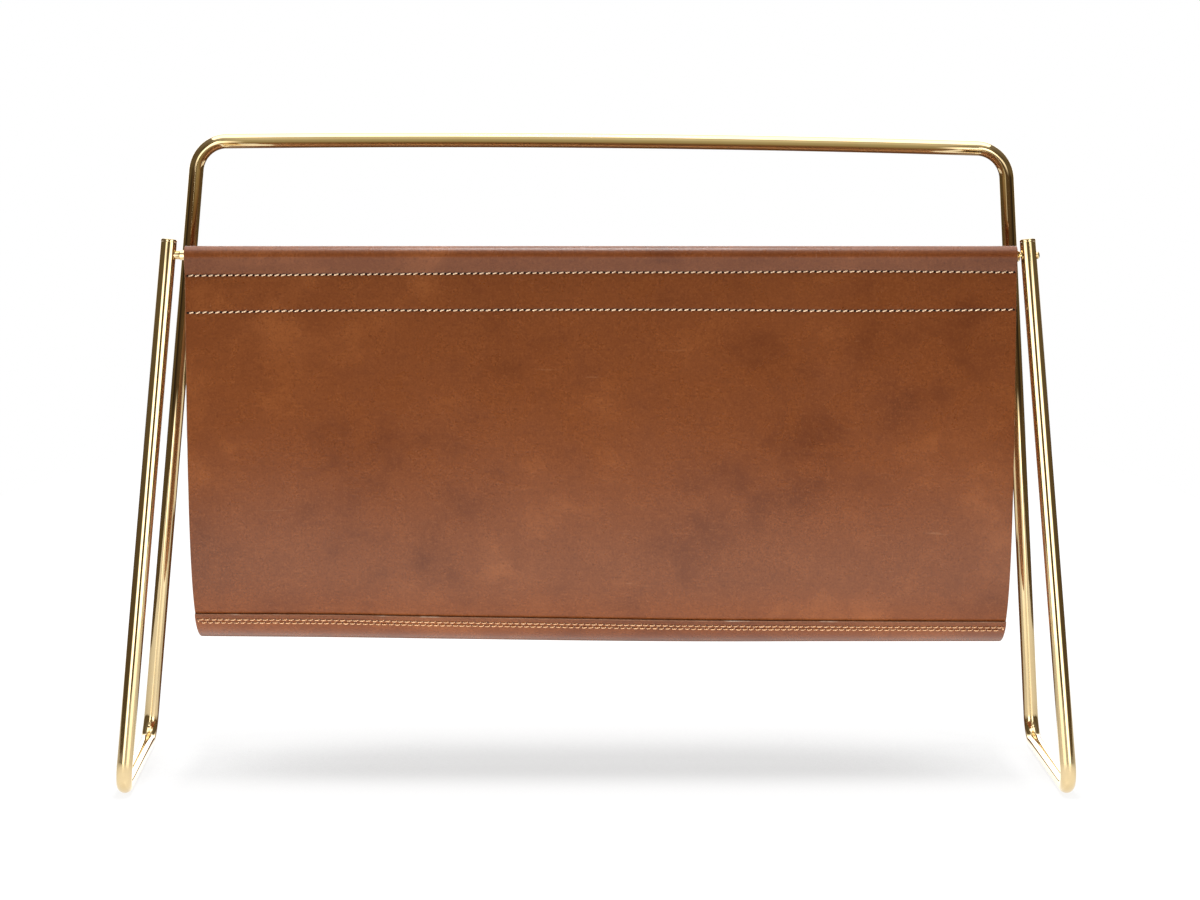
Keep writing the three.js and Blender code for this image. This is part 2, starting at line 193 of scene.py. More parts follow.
class Nodes:
    """Short calls for building a node tree. A value may be a number, a colour, a socket or a node."""

    def __init__(self, tree):
        self.tree = tree
        tree.nodes.clear()

    def add(self, kind, inputs=None, **settings):
        node = self.tree.nodes.new(kind)
        for key, value in settings.items():
            setattr(node, key, value)
        for key, value in (inputs or {}).items():
            self.put(node.inputs[key], value)
        return node

    def put(self, socket, value):
        if isinstance(value, bpy.types.NodeSocket):
            self.tree.links.new(value, socket)
        elif isinstance(value, bpy.types.Node):
            self.tree.links.new(value.outputs[0], socket)
        else:
            socket.default_value = (*value, 1.0) if socket.type == "RGBA" else value

    def flat(self):
        return self.add("ShaderNodeUVMap", uv_map="flat").outputs[0]

    def place(self):
        return self.add("ShaderNodeTexCoord").outputs["Object"]

    def parts(self, vector):
        return self.add("ShaderNodeSeparateXYZ", {0: vector}).outputs

    def math(self, operation, *values):
        return self.add("ShaderNodeMath", dict(enumerate(values)), operation=operation).outputs[0]

    def product(self, first, *others):
        for value in others:
            first = self.math("MULTIPLY", first, value)
        return first

    def noise(self, vector, scale, detail=3.0, roughness=0.5, distortion=0.0):
        inputs = {"Vector": vector, "Scale": scale, "Detail": detail, "Roughness": roughness,
                  "Distortion": distortion}
        return self.add("ShaderNodeTexNoise", inputs).outputs["Fac"]

    def cells(self, vector, scale=5.0):
        return self.add("ShaderNodeTexVoronoi", {"Vector": vector, "Scale": scale}).outputs["Distance"]

    def stretch(self, vector, scale):
        return self.add("ShaderNodeMapping", {"Vector": vector, "Scale": scale}).outputs[0]

    def ramp(self, factor, stops, interpolation="EASE"):
        """A colour for each value, from (position, colour or grey) stops."""
        node = self.add("ShaderNodeValToRGB", {0: factor})
        ramp = node.color_ramp
        ramp.interpolation = interpolation
        while len(ramp.elements) < len(stops):
            ramp.elements.new(0.5)
        for element, (position, colour) in zip(ramp.elements, stops):
            element.position = position
            element.color = (*(colour if isinstance(colour, tuple) else (colour,) * 3), 1.0)
        return node.outputs[0]

    def range(self, value, from_low, from_high, to_low=0.0, to_high=1.0):
        inputs = dict(enumerate((value, from_low, from_high, to_low, to_high)))
        return self.add("ShaderNodeMapRange", inputs).outputs[0]

    def fade(self, value, low, high):
        """Smoothly from 0 at low to 1 at high, where low may be the larger of the two."""
        inputs = {0: value, 1: min(low, high), 2: max(low, high)}
        rise = self.add("ShaderNodeMapRange", inputs, interpolation_type="SMOOTHSTEP").outputs[0]
        return rise if low < high else self.math("SUBTRACT", 1.0, rise)

    def mix(self, factor, first, second):
        return self.add("ShaderNodeMix", {0: factor, 6: first, 7: second}, data_type="RGBA").outputs[2]

    def stains(self, tone, *rows):
        """Mixes a colour in for each row: (value, where it starts, where it is full, amount, colour)."""
        for value, start, full, amount, stain in rows:
            tone = self.mix(self.range(value, start, full, 0.0, amount), tone, stain)
        return tone

    def relief(self, *layers):
        """A chain of bumps: (height, distance, strength) for each."""
        normal = None
        for height, distance, strength in layers:
            node = self.add("ShaderNodeBump", {"Height": height, "Distance": distance, "Strength": strength})
            if normal is not None:
                self.put(node.inputs["Normal"], normal)
            normal = node.outputs[0]
        return normal

    def glow(self, colour, strength=1.0):
        return self.add("ShaderNodeEmission", {"Color": colour, "Strength": strength})

    def blend(self, factor, first, second):
        return self.add("ShaderNodeMixShader", {0: factor, 1: first, 2: second})

    def surface(self, shader):
        self.add("ShaderNodeOutputMaterial", {"Surface": shader})

    def skin(self, inputs):
        self.surface(self.add("ShaderNodeBsdfPrincipled", inputs))


def new_material(name):
    material = bpy.data.materials.new(name)
    material.use_nodes = True
    return material, Nodes(material.node_tree)


def brass_material():
    """Mirror-polished brass with faint draw lines along the tube and a trace of haze."""
    material, nodes = new_material("brass_polished")
    place = nodes.place()
    lines = nodes.noise(nodes.stretch(nodes.flat(), (1500.0, 9.0, 1.0)), 1.0, 3.0, 0.55)
    swell = nodes.noise(place, 34.0, 2.0, 0.5)
    haze = nodes.noise(place, 55.0, 4.0, 0.65)
    tone = nodes.stains(
        (0.89, 0.70, 0.40),
        (haze, 0.35, 0.75, 1.0, (0.87, 0.665, 0.36)),
        (lines, 0.62, 0.78, 1.0, (0.80, 0.58, 0.30)),
    )
    nodes.skin({
        "Base Color": tone,
        "Metallic": 1.0,
        "Roughness": nodes.range(haze, 0.4, 0.8, 0.04, 0.085),
        "Normal": nodes.relief((swell, 0.0003, 0.4), (lines, 0.000006, 0.5)),
    })
    return material


def leather_material():
    """Grain side: cloudy waxed tan with fine pores and a few light scratches. Painted shade darkens the stitch
    holes, the band below the hem roll and, together with wax, the stitch rows.
    """
    material, nodes = new_material("leather_grain")
    flat = nodes.flat()
    cloud = nodes.noise(flat, 8.5, 3.0, 0.5, 0.5)
    mottle = nodes.noise(flat, 46.0, 4.0, 0.6, 0.3)
    streaks = nodes.noise(nodes.stretch(flat, (24.0, 34.0, 1.0)), 1.0, 3.0, 0.5, 0.4)
    blots = nodes.noise(flat, 300.0, 3.0, 0.6)
    fine = nodes.noise(flat, 750.0, 3.0, 0.65)
    grain = nodes.noise(flat, 1700.0, 2.0, 0.6)
    scuffs = nodes.noise(nodes.stretch(flat, (22.0, 260.0, 1.0)), 1.0, 2.0, 0.5, 1.6)
    pores = nodes.cells(flat, 1100.0)
    flecks = nodes.cells(nodes.stretch(flat, (34.0, 42.0, 1.0)))
    spots = nodes.cells(nodes.stretch(flat, (21.0, 24.0, 1.0)))
    shade = nodes.math("ADD", nodes.product(cloud, 0.50), nodes.product(mottle, 0.28))
    shade = nodes.math("ADD", shade, nodes.product(streaks, 0.22))
    tone = nodes.ramp(shade, [
        (0.35, (0.113, 0.0275, 0.0054)),
        (0.5, (0.157, 0.0428, 0.0100)),
        (0.65, (0.214, 0.0650, 0.0176)),
    ])
    tone = nodes.stains(
        tone,
        (blots, 0.52, 0.72, 0.20, (0.250, 0.082, 0.0260)),
        (blots, 0.50, 0.32, 0.20, (0.088, 0.022, 0.0050)),
        (fine, 0.54, 0.74, 0.42, (0.270, 0.092, 0.0310)),
        (fine, 0.48, 0.30, 0.55, (0.075, 0.018, 0.0042)),
        (grain, 0.60, 0.8, 0.35, (0.075, 0.020, 0.007)),
        (flecks, 0.03, 0.018, 0.55, (0.42, 0.26, 0.16)),
        (spots, 0.026, 0.014, 0.6, (0.040, 0.010, 0.004)),
        (scuffs, 0.735, 0.79, 0.22, (0.36, 0.18, 0.095)),
    )
    marks = nodes.add("ShaderNodeAttribute", attribute_name="stitch").outputs["Vector"]
    beat, beside, within = nodes.parts(marks)
    phase = nodes.math("SUBTRACT", nodes.math("FRACT", nodes.math("ADD", beat, 0.5)), 0.5)
    along = nodes.product(phase, PITCH / HOLE_HALF_LENGTH)
    wide = nodes.math("DIVIDE", beside, HOLE_HALF_WIDTH)
    reach = nodes.math("SQRT", nodes.math("ADD", nodes.product(along, along), nodes.product(wide, wide)))
    hole = nodes.product(nodes.range(reach, 0.8, 1.1, 1.0, 0.0), within)
    # Darker along the stitch rows: partly wax worked into the leather, partly painted shade of the stitch
    # grooves.
    row_wax_and_shade = nodes.product(nodes.range(beside, 0.2, 1.4, 0.45, 0.0), within)
    pulled = nodes.add("ShaderNodeAttribute", attribute_name="pulled_straight").outputs["Fac"]
    tone = nodes.mix(row_wax_and_shade, tone, (0.075, 0.022, 0.008))
    # Painted shade: the stitch holes, which the mesh only dents, are darkened nearly to black.
    tone = nodes.mix(hole, tone, (0.003, 0.0015, 0.001))
    # Painted shade: the band pulled straight below the hem roll is darkened a little, and it is also made
    # rougher.
    tone = nodes.mix(nodes.product(pulled, 0.10), tone, (0.060, 0.014, 0.0040))
    matt = nodes.math("ADD", nodes.range(mottle, 0.3, 0.7, 0.31, 0.25), nodes.product(pulled, 0.24))
    nodes.skin({
        "Base Color": tone,
        "Roughness": nodes.math("MAXIMUM", matt, hole),
        "IOR": 1.47,
        "Specular IOR Level": 0.42,
        "Normal": nodes.relief(
            (mottle, 0.0009, 0.12),
            (blots, 0.00030, 0.14),
            (fine, 0.00015, 0.35),
            (pores, 0.00008, 0.35),
            (nodes.math("SUBTRACT", 1.0, hole), 0.0003, 0.8),
        ),
    })
    return material


def flesh_material():
    """The leather's inner side: paler, matt and fibrous."""
    material, nodes = new_material("leather_flesh")
    flat = nodes.flat()
    cloud = nodes.noise(flat, 14.0, 4.0, 0.6, 0.5)
    fibres = nodes.noise(nodes.stretch(flat, (620.0, 240.0, 1.0)), 1.0, 5.0, 0.7, 1.2)
    nap = nodes.noise(flat, 1900.0, 2.0, 0.7)
    tone = nodes.stains(
        nodes.ramp(cloud, [(0.32, (0.235, 0.110, 0.052)), (0.68, (0.335, 0.175, 0.090))]),
        (fibres, 0.38, 0.7, 0.55, (0.42, 0.245, 0.135)),
        (nap, 0.55, 0.8, 0.35, (0.15, 0.065, 0.03)),
    )
    nodes.skin({
        "Base Color": tone,
        "Roughness": 0.88,
        "Sheen Weight": 0.15,
        "Normal": nodes.relief((fibres, 0.0003, 0.5), (nap, 0.0001, 0.5)),
    })
    return material


def edge_material():
    """The cut and burnished edge of the leather."""
    material, nodes = new_material("leather_edge")
    place = nodes.place()
    layers = nodes.noise(place, 900.0, 4.0, 0.65, 0.3)
    patch = nodes.noise(place, 60.0, 3.0, 0.6)
    rubbed = nodes.noise(place, 38.0, 3.0, 0.6)
    tone = nodes.stains(
        nodes.ramp(layers, [(0.3, (0.190, 0.078, 0.038)), (0.7, (0.300, 0.140, 0.078))]),
        (patch, 0.56, 0.72, 0.5, (0.40, 0.23, 0.145)),
        (rubbed, 0.60, 0.67, 0.8, (0.47, 0.35, 0.27)),
    )
    nodes.skin({
        "Base Color": tone,
        "Roughness": nodes.range(layers, 0.3, 0.7, 0.62, 0.46),
        "Normal": nodes.relief((layers, 0.00015, 0.5)),
    })
    return material


def thread_material(name, light, dark):
    """Waxed twisted thread. The flat map runs along the thread and round it."""
    material, nodes = new_material(name)
    place = nodes.place()
    wave = {"Vector": nodes.stretch(nodes.flat(), (1.0, 1.0, 0.0)), "Scale": 520.0, "Distortion": 0.6}
    twist = nodes.add("ShaderNodeTexWave", wave, wave_type="BANDS", bands_direction="DIAGONAL").outputs["Fac"]
    fibre = nodes.noise(place, 5200.0, 2.0, 0.6)
    varied = nodes.noise(place, 130.0, 2.0, 0.5)
    # The darker bands between the twisted plies are painted shade of their grooves.
    tone = nodes.stains(
        dark,
        (twist, 0.15, 0.6, 1.0, light),
        (fibre, 0.4, 0.75, 0.35, dark),
        (varied, 0.5, 0.75, 0.45, dark),
    )
    nodes.skin({
        "Base Color": tone,
        "Roughness": 0.62,
        "Sheen Weight": 0.2,
        "Normal": nodes.relief((twist, 0.00012, 0.7), (fibre, 0.00003, 0.6)),
    })
    return material


brass = brass_material()
grain = leather_material()
flesh = flesh_material()
edge = edge_material()
hem_thread = thread_material("thread_cream", (0.88, 0.69, 0.50), (0.56, 0.34, 0.19))
seam_thread = thread_material("thread_tan", (0.80, 0.50, 0.28), (0.44, 0.20, 0.09))


# The frame tube


def front_y(z):
    return -HALF_DEPTH + (z - TUBE_RADIUS) * LEAN


def upright_x(side, z, foot, head, top):
    """X along an upright. foot and head hold the middle of the pair and half its width, head at top's height."""
    low = foot[0] + side * foot[1]
    high = head[0] + side * head[1]
    return low + (high - low) * (z - TUBE_RADIUS) / (top - TUBE_RADIUS)


def post_x(side, z):
    return upright_x(side, z, POST_FOOT, POST_SEAT, ROD_HEIGHT)


def shoulder_z(side):
    return SHOULDER_HEIGHT - side * HANDLE_FALL / 2


def leg_x(side, z):
    return upright_x(side, z, ARCH_FOOT, ARCH_SHOULDER, shoulder_z(side))


def rod_places():
    """For each hem rod: its name, its point at X = 0, the X of both uprights and the lean of the right one."""
    for name, sign, x_of in (("front", 1, post_x), ("back", -1, leg_x)):
        right = x_of(1, ROD_HEIGHT)
        tilt = abs(x_of(1, ROD_HEIGHT - 10) - right) / 10
        yield name, (0, sign * front_y(ROD_HEIGHT), ROD_HEIGHT), x_of(-1, ROD_HEIGHT), right, tilt


def frame_corners():
    corners = []
    for side in (-1, 1):
        top = shoulder_z(side)
        half = [
            ((post_x(side, POST_TOP), front_y(POST_TOP), POST_TOP), 0.0),
            ((post_x(side, TUBE_RADIUS), -HALF_DEPTH, TUBE_RADIUS), FLOOR_BEND_RADIUS),
            ((leg_x(side, TUBE_RADIUS), HALF_DEPTH, TUBE_RADIUS), FLOOR_BEND_RADIUS),
            ((leg_x(side, top), -front_y(top), top), HANDLE_BEND_RADIUS),
        ]
        corners += half if side < 0 else half[::-1]
    return [(np.array(at), radius) for at, radius in corners]


def frame_axis():
    """Points along the tube's axis, and at each the way to its bend's centre, zero on straight runs."""
    corners = frame_corners()
    points = []
    inward = []

    def run(start, end):
        count = max(1, int(np.linalg.norm(end - start) / RUN_STEP))
        for step in range(count):
            points.append(start + (end - start) * step / count)
            inward.append(np.zeros(3))

    plugged = PLUG_CAP + SEAT_GAP
    first = corners[0][0]
    last = corners[-1][0]
    start = first + unit(corners[1][0] - first) * plugged
    for index in range(1, len(corners) - 1):
        at, radius = corners[index]
        way_in = unit(at - corners[index - 1][0])
        way_out = unit(corners[index + 1][0] - at)
        turn = math.acos(float(way_in @ way_out))
        centre = at + unit(way_out - way_in) * radius / math.cos(turn / 2)
        spin = unit(np.cross(way_in, way_out))
        spoke = unit(at - centre)
        bend = []
        for step in range(BEND_STEPS + 1):
            angle = turn * (step / BEND_STEPS - 0.5)
            ray = spoke * math.cos(angle) + np.cross(spin, spoke) * math.sin(angle)
            bend.append((centre + ray * radius, -ray * math.sin(math.pi * step / BEND_STEPS) ** 0.5))
        run(start, bend[0][0])
        for point, pull in bend[:-1]:
            points.append(point)
            inward.append(pull)
        start = bend[-1][0]
    end = last + unit(corners[-2][0] - last) * plugged
    run(start, end)
    points.append(end)
    inward.append(np.zeros(3))
    points = np.array(points)
    share = (points[:, 0] - ARCH_SHOULDER[0]) / ARCH_SHOULDER[1]
    on_arch = (points[:, 1] > 0) & (points[:, 2] > ROD_HEIGHT)
    points[:, 2] += np.where(on_arch, HANDLE_CROWN * np.maximum(0.0, 1 - share * share), 0.0)
    return points, np.array(inward)


def sweep_frames(points):
    """A tangent and a pair of square axes at each point, turned as little as possible along the line."""
    tangents = unit(np.gradient(points, axis=0))
    axes = []
    side = np.array([1.0, 0.0, 0.0])
    for tangent in tangents:
        side = unit(side - tangent * (side @ tangent))
        axes.append((side, np.cross(tangent, side)))
    return tangents, np.array(axes)


def tube_rings(points, inward, tangents, axes, radius):
    angle = turn_angles(TUBE_SIDES)
    offsets = (axes[:, 0][:, None] * np.cos(angle)[None, :, None]
               + axes[:, 1][:, None] * np.sin(angle)[None, :, None]) * radius
    pull = inward[:, None, :]
    amount = np.linalg.norm(inward, axis=1)[:, None, None]
    binormal = np.cross(tangents, inward)[:, None, :]
    along_pull = (offsets * pull).sum(-1, keepdims=True)
    along_side = (offsets * binormal).sum(-1, keepdims=True)
    safe = np.maximum(amount, 1e-9)
    offsets = offsets - pull / safe * along_pull * BEND_FLATTENING
    offsets = offsets + binormal / safe * along_side * BEND_FLATTENING * BULGE_SHARE
    return points[:, None, :] + offsets


def drill(obj, holes):
    """Cuts round holes along X, each given as (centre, radius, length) in millimetres."""
    angle = turn_angles(DRILL_SIDES)
    points = []
    faces = []
    for centre, radius, length in holes:
        ring = np.stack([np.zeros_like(angle), radius * np.cos(angle), radius * np.sin(angle)], 1)
        near = ring + np.array(centre) - np.array([length / 2, 0, 0])
        low = 2 * DRILL_SIDES * len(points)
        high = low + DRILL_SIDES
        points.append(np.concatenate([near, near + np.array([length, 0, 0])]))
        faces += ring_faces(low, high, DRILL_SIDES)
        faces += [tuple(range(low, high))[::-1], tuple(range(high, high + DRILL_SIDES))]
    tool = build_mesh("drill", np.concatenate(points), faces, [])
    cut = obj.modifiers.new("cut", "BOOLEAN")
    cut.operation = "DIFFERENCE"
    cut.solver = "EXACT"
    cut.object = tool
    graph = bpy.context.evaluated_depsgraph_get()
    mesh = bpy.data.meshes.new_from_object(obj.evaluated_get(graph), depsgraph=graph)
    obj.modifiers.clear()
    obj.data = mesh
    bpy.data.objects.remove(tool)


def radial_normals(obj, axis_points):
    """Round normals on the tube's two walls, so that the drilled holes leave no shading marks."""
    mesh = obj.data
    where = read(mesh.vertices, "co", 3) / MM
    starts = axis_points[:-1]
    spans = axis_points[1:] - starts
    lengths = (spans ** 2).sum(1)
    radial = np.empty_like(where)
    batch = 4000
    for low in range(0, len(where), batch):
        part = where[low:low + batch]
        share = ((part[:, None, :] - starts) * spans).sum(2) / lengths
        foot = starts + np.clip(share, 0, 1)[..., None] * spans
        away = part[:, None, :] - foot
        nearest = (away ** 2).sum(2).argmin(1)
        radial[low:low + batch] = away[np.arange(len(part)), nearest]
    rays = unit(radial)[read(mesh.loops, "vertex_index", kind=np.int32)]
    sizes = read(mesh.polygons, "loop_total", kind=np.int32)
    own = np.repeat(read(mesh.polygons, "normal", 3), sizes, axis=0)
    facing = (rays * own).sum(1)
    starts_at = np.concatenate([[0], np.cumsum(sizes)[:-1]])
    least = np.repeat(np.minimum.reduceat(facing, starts_at), sizes)
    most = np.repeat(np.maximum.reduceat(facing, starts_at), sizes)
    normals = np.where((most < -TRUE_WALL)[:, None], -rays, own)
    normals = np.where((least > TRUE_WALL)[:, None], rays, normals)
    mesh.normals_split_custom_set(normals.tolist())


def build_tube():
    points, inward = frame_axis()
    tangents, axes = sweep_frames(points)
    outer = tube_rings(points, inward, tangents, axes, TUBE_RADIUS)
    inner = tube_rings(points, inward, tangents, axes, BORE_RADIUS)
    rings, sides = outer.shape[:2]
    total = rings * sides
    length = run_length(points)
    around = np.arange(sides) / sides * 2 * math.pi * TUBE_RADIUS
    flat = np.stack(np.broadcast_arrays(around[None, :], length[:, None]), -1).reshape(-1, 2) * MM
    faces = []
    last = total - sides
    for low in range(0, last, sides):
        faces += ring_faces(low, low + sides, sides)
        faces += ring_faces(total + low + sides, total + low, sides)
    faces += ring_faces(total, 0, sides) + ring_faces(last, total + last, sides)
    walls = np.concatenate([outer.reshape(-1, 3), inner.reshape(-1, 3)])
    tube = build_mesh("brass_frame_tube", walls, faces, [brass], uvs=np.concatenate([flat, flat]))
    holes = []
    for _, (_, y, z), left, right, _ in rod_places():
        holes.append(((left + TUBE_RADIUS, y, z), NECK_RADIUS + SEAT_GAP, 2 * TUBE_RADIUS))
        holes.append(((right, y, z), SCREW_RADIUS + SEAT_GAP, 4 * TUBE_RADIUS))
    drill(tube, holes)
    radial_normals(tube, points)
    return tube


# Turned brass parts


def turned(name, profile, centre, axis, socket_from=None):
    """A turned solid from (radius, place along the axis) pairs. Rings from socket_from on are hexagons."""
    along = unit(np.array(axis, dtype=float))
    helper = np.array([0.0, 0.0, 1.0]) if abs(along[2]) < 0.9 else np.array([1.0, 0.0, 0.0])
    side = unit(np.cross(along, helper))
    up = np.cross(along, side)
    angle = turn_angles(TURNED_SIDES)
    circle = np.cos(angle)[:, None] * side + np.sin(angle)[:, None] * up
    hexagon = 1 / np.cos(np.mod(angle + math.pi / 6, math.pi / 3) - math.pi / 6)
    points = []
    flat = []
    rings = []
    run = 0.0
    before = profile[0]
    for index, (radius, place) in enumerate(profile):
        run += math.dist(before, (radius, place))
        before = (radius, place)
        base = np.array(centre) + along * place
        if radius == 0:
            rings.append((len(points), 1))
            points.append(base)
            flat.append((0.0, run))
            continue
        in_socket = socket_from is not None and index >= socket_from
        reach = radius * (hexagon if in_socket else np.ones_like(angle))
        rings.append((len(points), TURNED_SIDES))
        points.extend(base + reach[:, None] * circle)
        flat.extend((a * radius, run) for a in angle)
    faces = []
    for (low, low_count), (high, high_count) in zip(rings, rings[1:]):
        for a, b, c, d in ring_faces(high, low, TURNED_SIDES):
            if low_count == 1:
                faces.append((low, a, b))
            elif high_count == 1:
                faces.append((c, d, high))
            else:
                faces.append((a, b, c, d))
    obj = build_mesh(name, np.array(points), faces, [brass], uvs=np.array(flat) * MM)
    obj.data.set_sharp_from_angle(angle=math.radians(38))
    return obj


def rounded(radius, place, size, from_angle, to_angle, steps=4):
    """Profile points of a small rounding, centred on (radius, place)."""
    angles = np.radians(np.linspace(from_angle, to_angle, steps + 1))
    return [(radius + size * math.cos(a), place + size * math.sin(a)) for a in angles]


def build_plugs():
    stem = BORE_RADIUS - SEAT_GAP
    bottom = -PLUG_CAP - PLUG_STEM
    skirt = PLUG_SKIRT_ROUND
    profile = [(0, bottom), (stem - PLUG_LEAD, bottom), (stem, bottom + PLUG_LEAD), (stem, -PLUG_CAP)]
    profile += rounded(TUBE_RADIUS - skirt, -PLUG_CAP + skirt, skirt, -90, 0, 3)
    profile += rounded(TUBE_RADIUS - PLUG_TOP_ROUND, -PLUG_TOP_ROUND, PLUG_TOP_ROUND, 0, 90, 5)
    profile += [(PLUG_FLAT_RADIUS, 0.0), (0, 0.0)]
    plugs = []
    for side, name in ((-1, "left"), (1, "right")):
        top = np.array([post_x(side, POST_TOP), front_y(POST_TOP), POST_TOP])
        foot = np.array([post_x(side, TUBE_RADIUS), -HALF_DEPTH, TUBE_RADIUS])
        plug = turned(f"brass_{name}_post_plug", profile, top, top - foot)
        plugs.append(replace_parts(plug, f"{name}_post_plug"))
    return plugs


def rod_profile(neck_end, shoulder, end):
    """A hem rod from the end of its neck to its turned-down right end, bored for the screw."""
    profile = [(0, neck_end), (NECK_RADIUS - NECK_LEAD, neck_end), (NECK_RADIUS, neck_end + NECK_LEAD)]
    profile += [(NECK_RADIUS + out, shoulder - before) for out, before in NECK_CORNER]
    edge = ROD_SHOULDER_ROUND
    profile += rounded(ROD_RADIUS - edge, shoulder + edge, edge, -90, 0)
    profile += rounded(ROD_RADIUS - ROD_END_ROUND, end - ROD_END_LENGTH, ROD_END_ROUND, 0, 58)
    profile += [(radius, end - before) for radius, before in ROD_END_STEPS]
    bore = SCREW_RADIUS + SEAT_GAP
    bottom = end - SCREW_REACH - SEAT_GAP
    return profile + [(bore, end), (bore, bottom), (0, bottom)]


def screw_profile(tip, seat):
    """A screw with a domed head, and the number of the profile's point where its socket starts."""
    top = seat + HEAD_HEIGHT
    profile = [(0, tip), (SCREW_RADIUS - SCREW_LEAD, tip), (SCREW_RADIUS, tip + SCREW_LEAD),
               (SCREW_RADIUS, seat)]
    profile += rounded(HEAD_RADIUS - HEAD_EDGE, seat + HEAD_EDGE, HEAD_EDGE, -90, 0, 2)
    for step in range(1, DOME_STEPS + 1):
        angle = math.radians(step * DOME_ANGLE / DOME_STEPS)
        rise = (HEAD_HEIGHT - HEAD_EDGE) * math.sin(angle) / math.sin(math.radians(DOME_ANGLE))
        profile.append((HEAD_RADIUS * math.cos(angle), seat + HEAD_EDGE + rise))
    bottom = top - SOCKET_DEPTH
    socket = [(SOCKET_HALF + SOCKET_RIM[0], top), (SOCKET_HALF, top - SOCKET_RIM[1]), (SOCKET_HALF, bottom),
              (0, bottom - SOCKET_POINT)]
    return profile + socket, len(profile)


def build_rods():
    """The two hem rods and their screws. The rods clear the corners of the solid's 16-sided tube."""
    made = []
    corner = TUBE_RADIUS / math.cos(math.pi / 16)
    for name, centre, left, right, tilt in rod_places():
        neck_end = left - math.sqrt(BORE_RADIUS ** 2 - NECK_RADIUS ** 2) + SEAT_GAP + NECK_RADIUS * tilt
        end = right - corner - SEAT_GAP - ROD_RADIUS * tilt
        rod_points = rod_profile(neck_end, left + corner + NECK_SHOWING, end)
        rod = turned(f"brass_{name}_hem_rod", rod_points, centre, (1, 0, 0))
        made.append(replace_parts(rod, f"{name}_hem_rod"))
        seat = right + TUBE_RADIUS + HEAD_GAP + HEAD_RADIUS * tilt
        screw_points, socket_from = screw_profile(end - SCREW_REACH, seat)
        screw = turned(f"brass_{name}_rod_screw", screw_points, centre, (1, 0, 0), socket_from)
        made.append(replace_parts(screw, f"{name}_rod_screw"))
    return made


# The sling's section, in the (y, z) plane, as the source draws it

ROD_CENTRE = np.array([front_y(ROD_HEIGHT), ROD_HEIGHT])
HEM_DOWN = np.array([math.sin(WALL_LEAN), -math.cos(WALL_LEAN)])
HEM_OUT = np.array([-math.cos(WALL_LEAN), -math.sin(WALL_LEAN)])
WRAP = ROD_RADIUS + SEAT_GAP + LEATHER / 2
FILLET = HEM_FILLET + LEATHER / 2
LAYER = (LEATHER + SEAT_GAP) / 2
DROP = math.sqrt((WRAP + FILLET) ** 2 - (LAYER + FILLET) ** 2)
SINK = math.asin(DROP / (WRAP + FILLET))
WALL_START = ROD_CENTRE + HEM_OUT * LAYER + HEM_DOWN * DROP


class Line:
    """A line in the (y, z) plane with its length and its outward (grain side) normal."""

    def __init__(self, points):
        steps = np.linalg.norm(np.diff(points, axis=0), axis=1)
        self.points = points[np.concatenate([[True], steps > 1e-6])]
        self.length = run_length(self.points)
        self.total = self.length[-1]
        way = unit(np.gradient(self.points, self.length, axis=0))
        self.normals = np.stack([way[:, 1], -way[:, 0]], 1)

    def at(self, length, out=0.0):
        """The places at the given lengths, moved out along the normal, and the normals there."""
        place, normal = (
            np.stack([np.interp(length, self.length, values[:, axis]) for axis in (0, 1)], -1)
            for values in (self.points, self.normals)
        )
        normal = unit(normal)
        return place + normal * np.asarray(out)[..., None], normal


def wall_line():
    base = np.array([WALL_START[0] * BASE_FLAT_SHARE, SLING_HEIGHT])
    reach = (base[0] - WALL_START[0]) * BASE_REACH_SHARE
    handles = [WALL_START, WALL_START + HEM_DOWN * (WALL_START[1] - SLING_HEIGHT) * WALL_REACH_SHARE,
               base - np.array([reach, 0]), base]
    t = np.linspace(0, 1, 3000)[:, None]
    return Line((1 - t) ** 3 * handles[0] + 3 * (1 - t) ** 2 * t * handles[1]
                + 3 * (1 - t) * t * t * handles[2] + t ** 3 * handles[3])


wall = wall_line()


def arc_points(centre, radius, start, end):
    angle = np.linspace(start, end, 160)[:, None]
    return centre + HEM_OUT * radius * np.cos(angle) - HEM_DOWN * radius * np.sin(angle)


def panel_line():
    """The front panel's mid line and the length along it at which its outer wall starts."""
    flap, _ = wall.at(np.linspace(HEM_FLAP, 0, 200), -(LEATHER + SEAT_GAP))
    inner = ROD_CENTRE - HEM_OUT * (LAYER + FILLET) + HEM_DOWN * DROP
    outer = ROD_CENTRE + HEM_OUT * (LAYER + FILLET) + HEM_DOWN * DROP
    down, _ = wall.at(np.linspace(0, wall.total - SEAM_ARC + LAP, 1200), 0.0)
    bends = np.concatenate([
        flap,
        arc_points(inner, FILLET, 0, SINK)[1:],
        arc_points(ROD_CENTRE, WRAP, math.pi + SINK, -SINK)[1:],
        arc_points(outer, FILLET, math.pi - SINK, math.pi)[1:],
    ])
    start = Line(bends).total
    return Line(np.concatenate([bends, down[1:]])), start


def base_line():
    """The base strip's mid line, which runs on past the drawn place of each cut edge by BASE_SPARE."""
    lengths = np.linspace(wall.total - SEAM_ARC - BASE_SPARE, wall.total, 800)
    front, _ = wall.at(lengths, LEATHER + SEAT_GAP)
    back = front[::-1] * np.array([-1.0, 1.0])
    return Line(np.concatenate([front, back[1:]]))


# How the hand-made sling departs from its drawing

WIDTHS = np.array([-243.3, -160.0, -80.0, 0.0, 80.0, 160.0, 256.7])


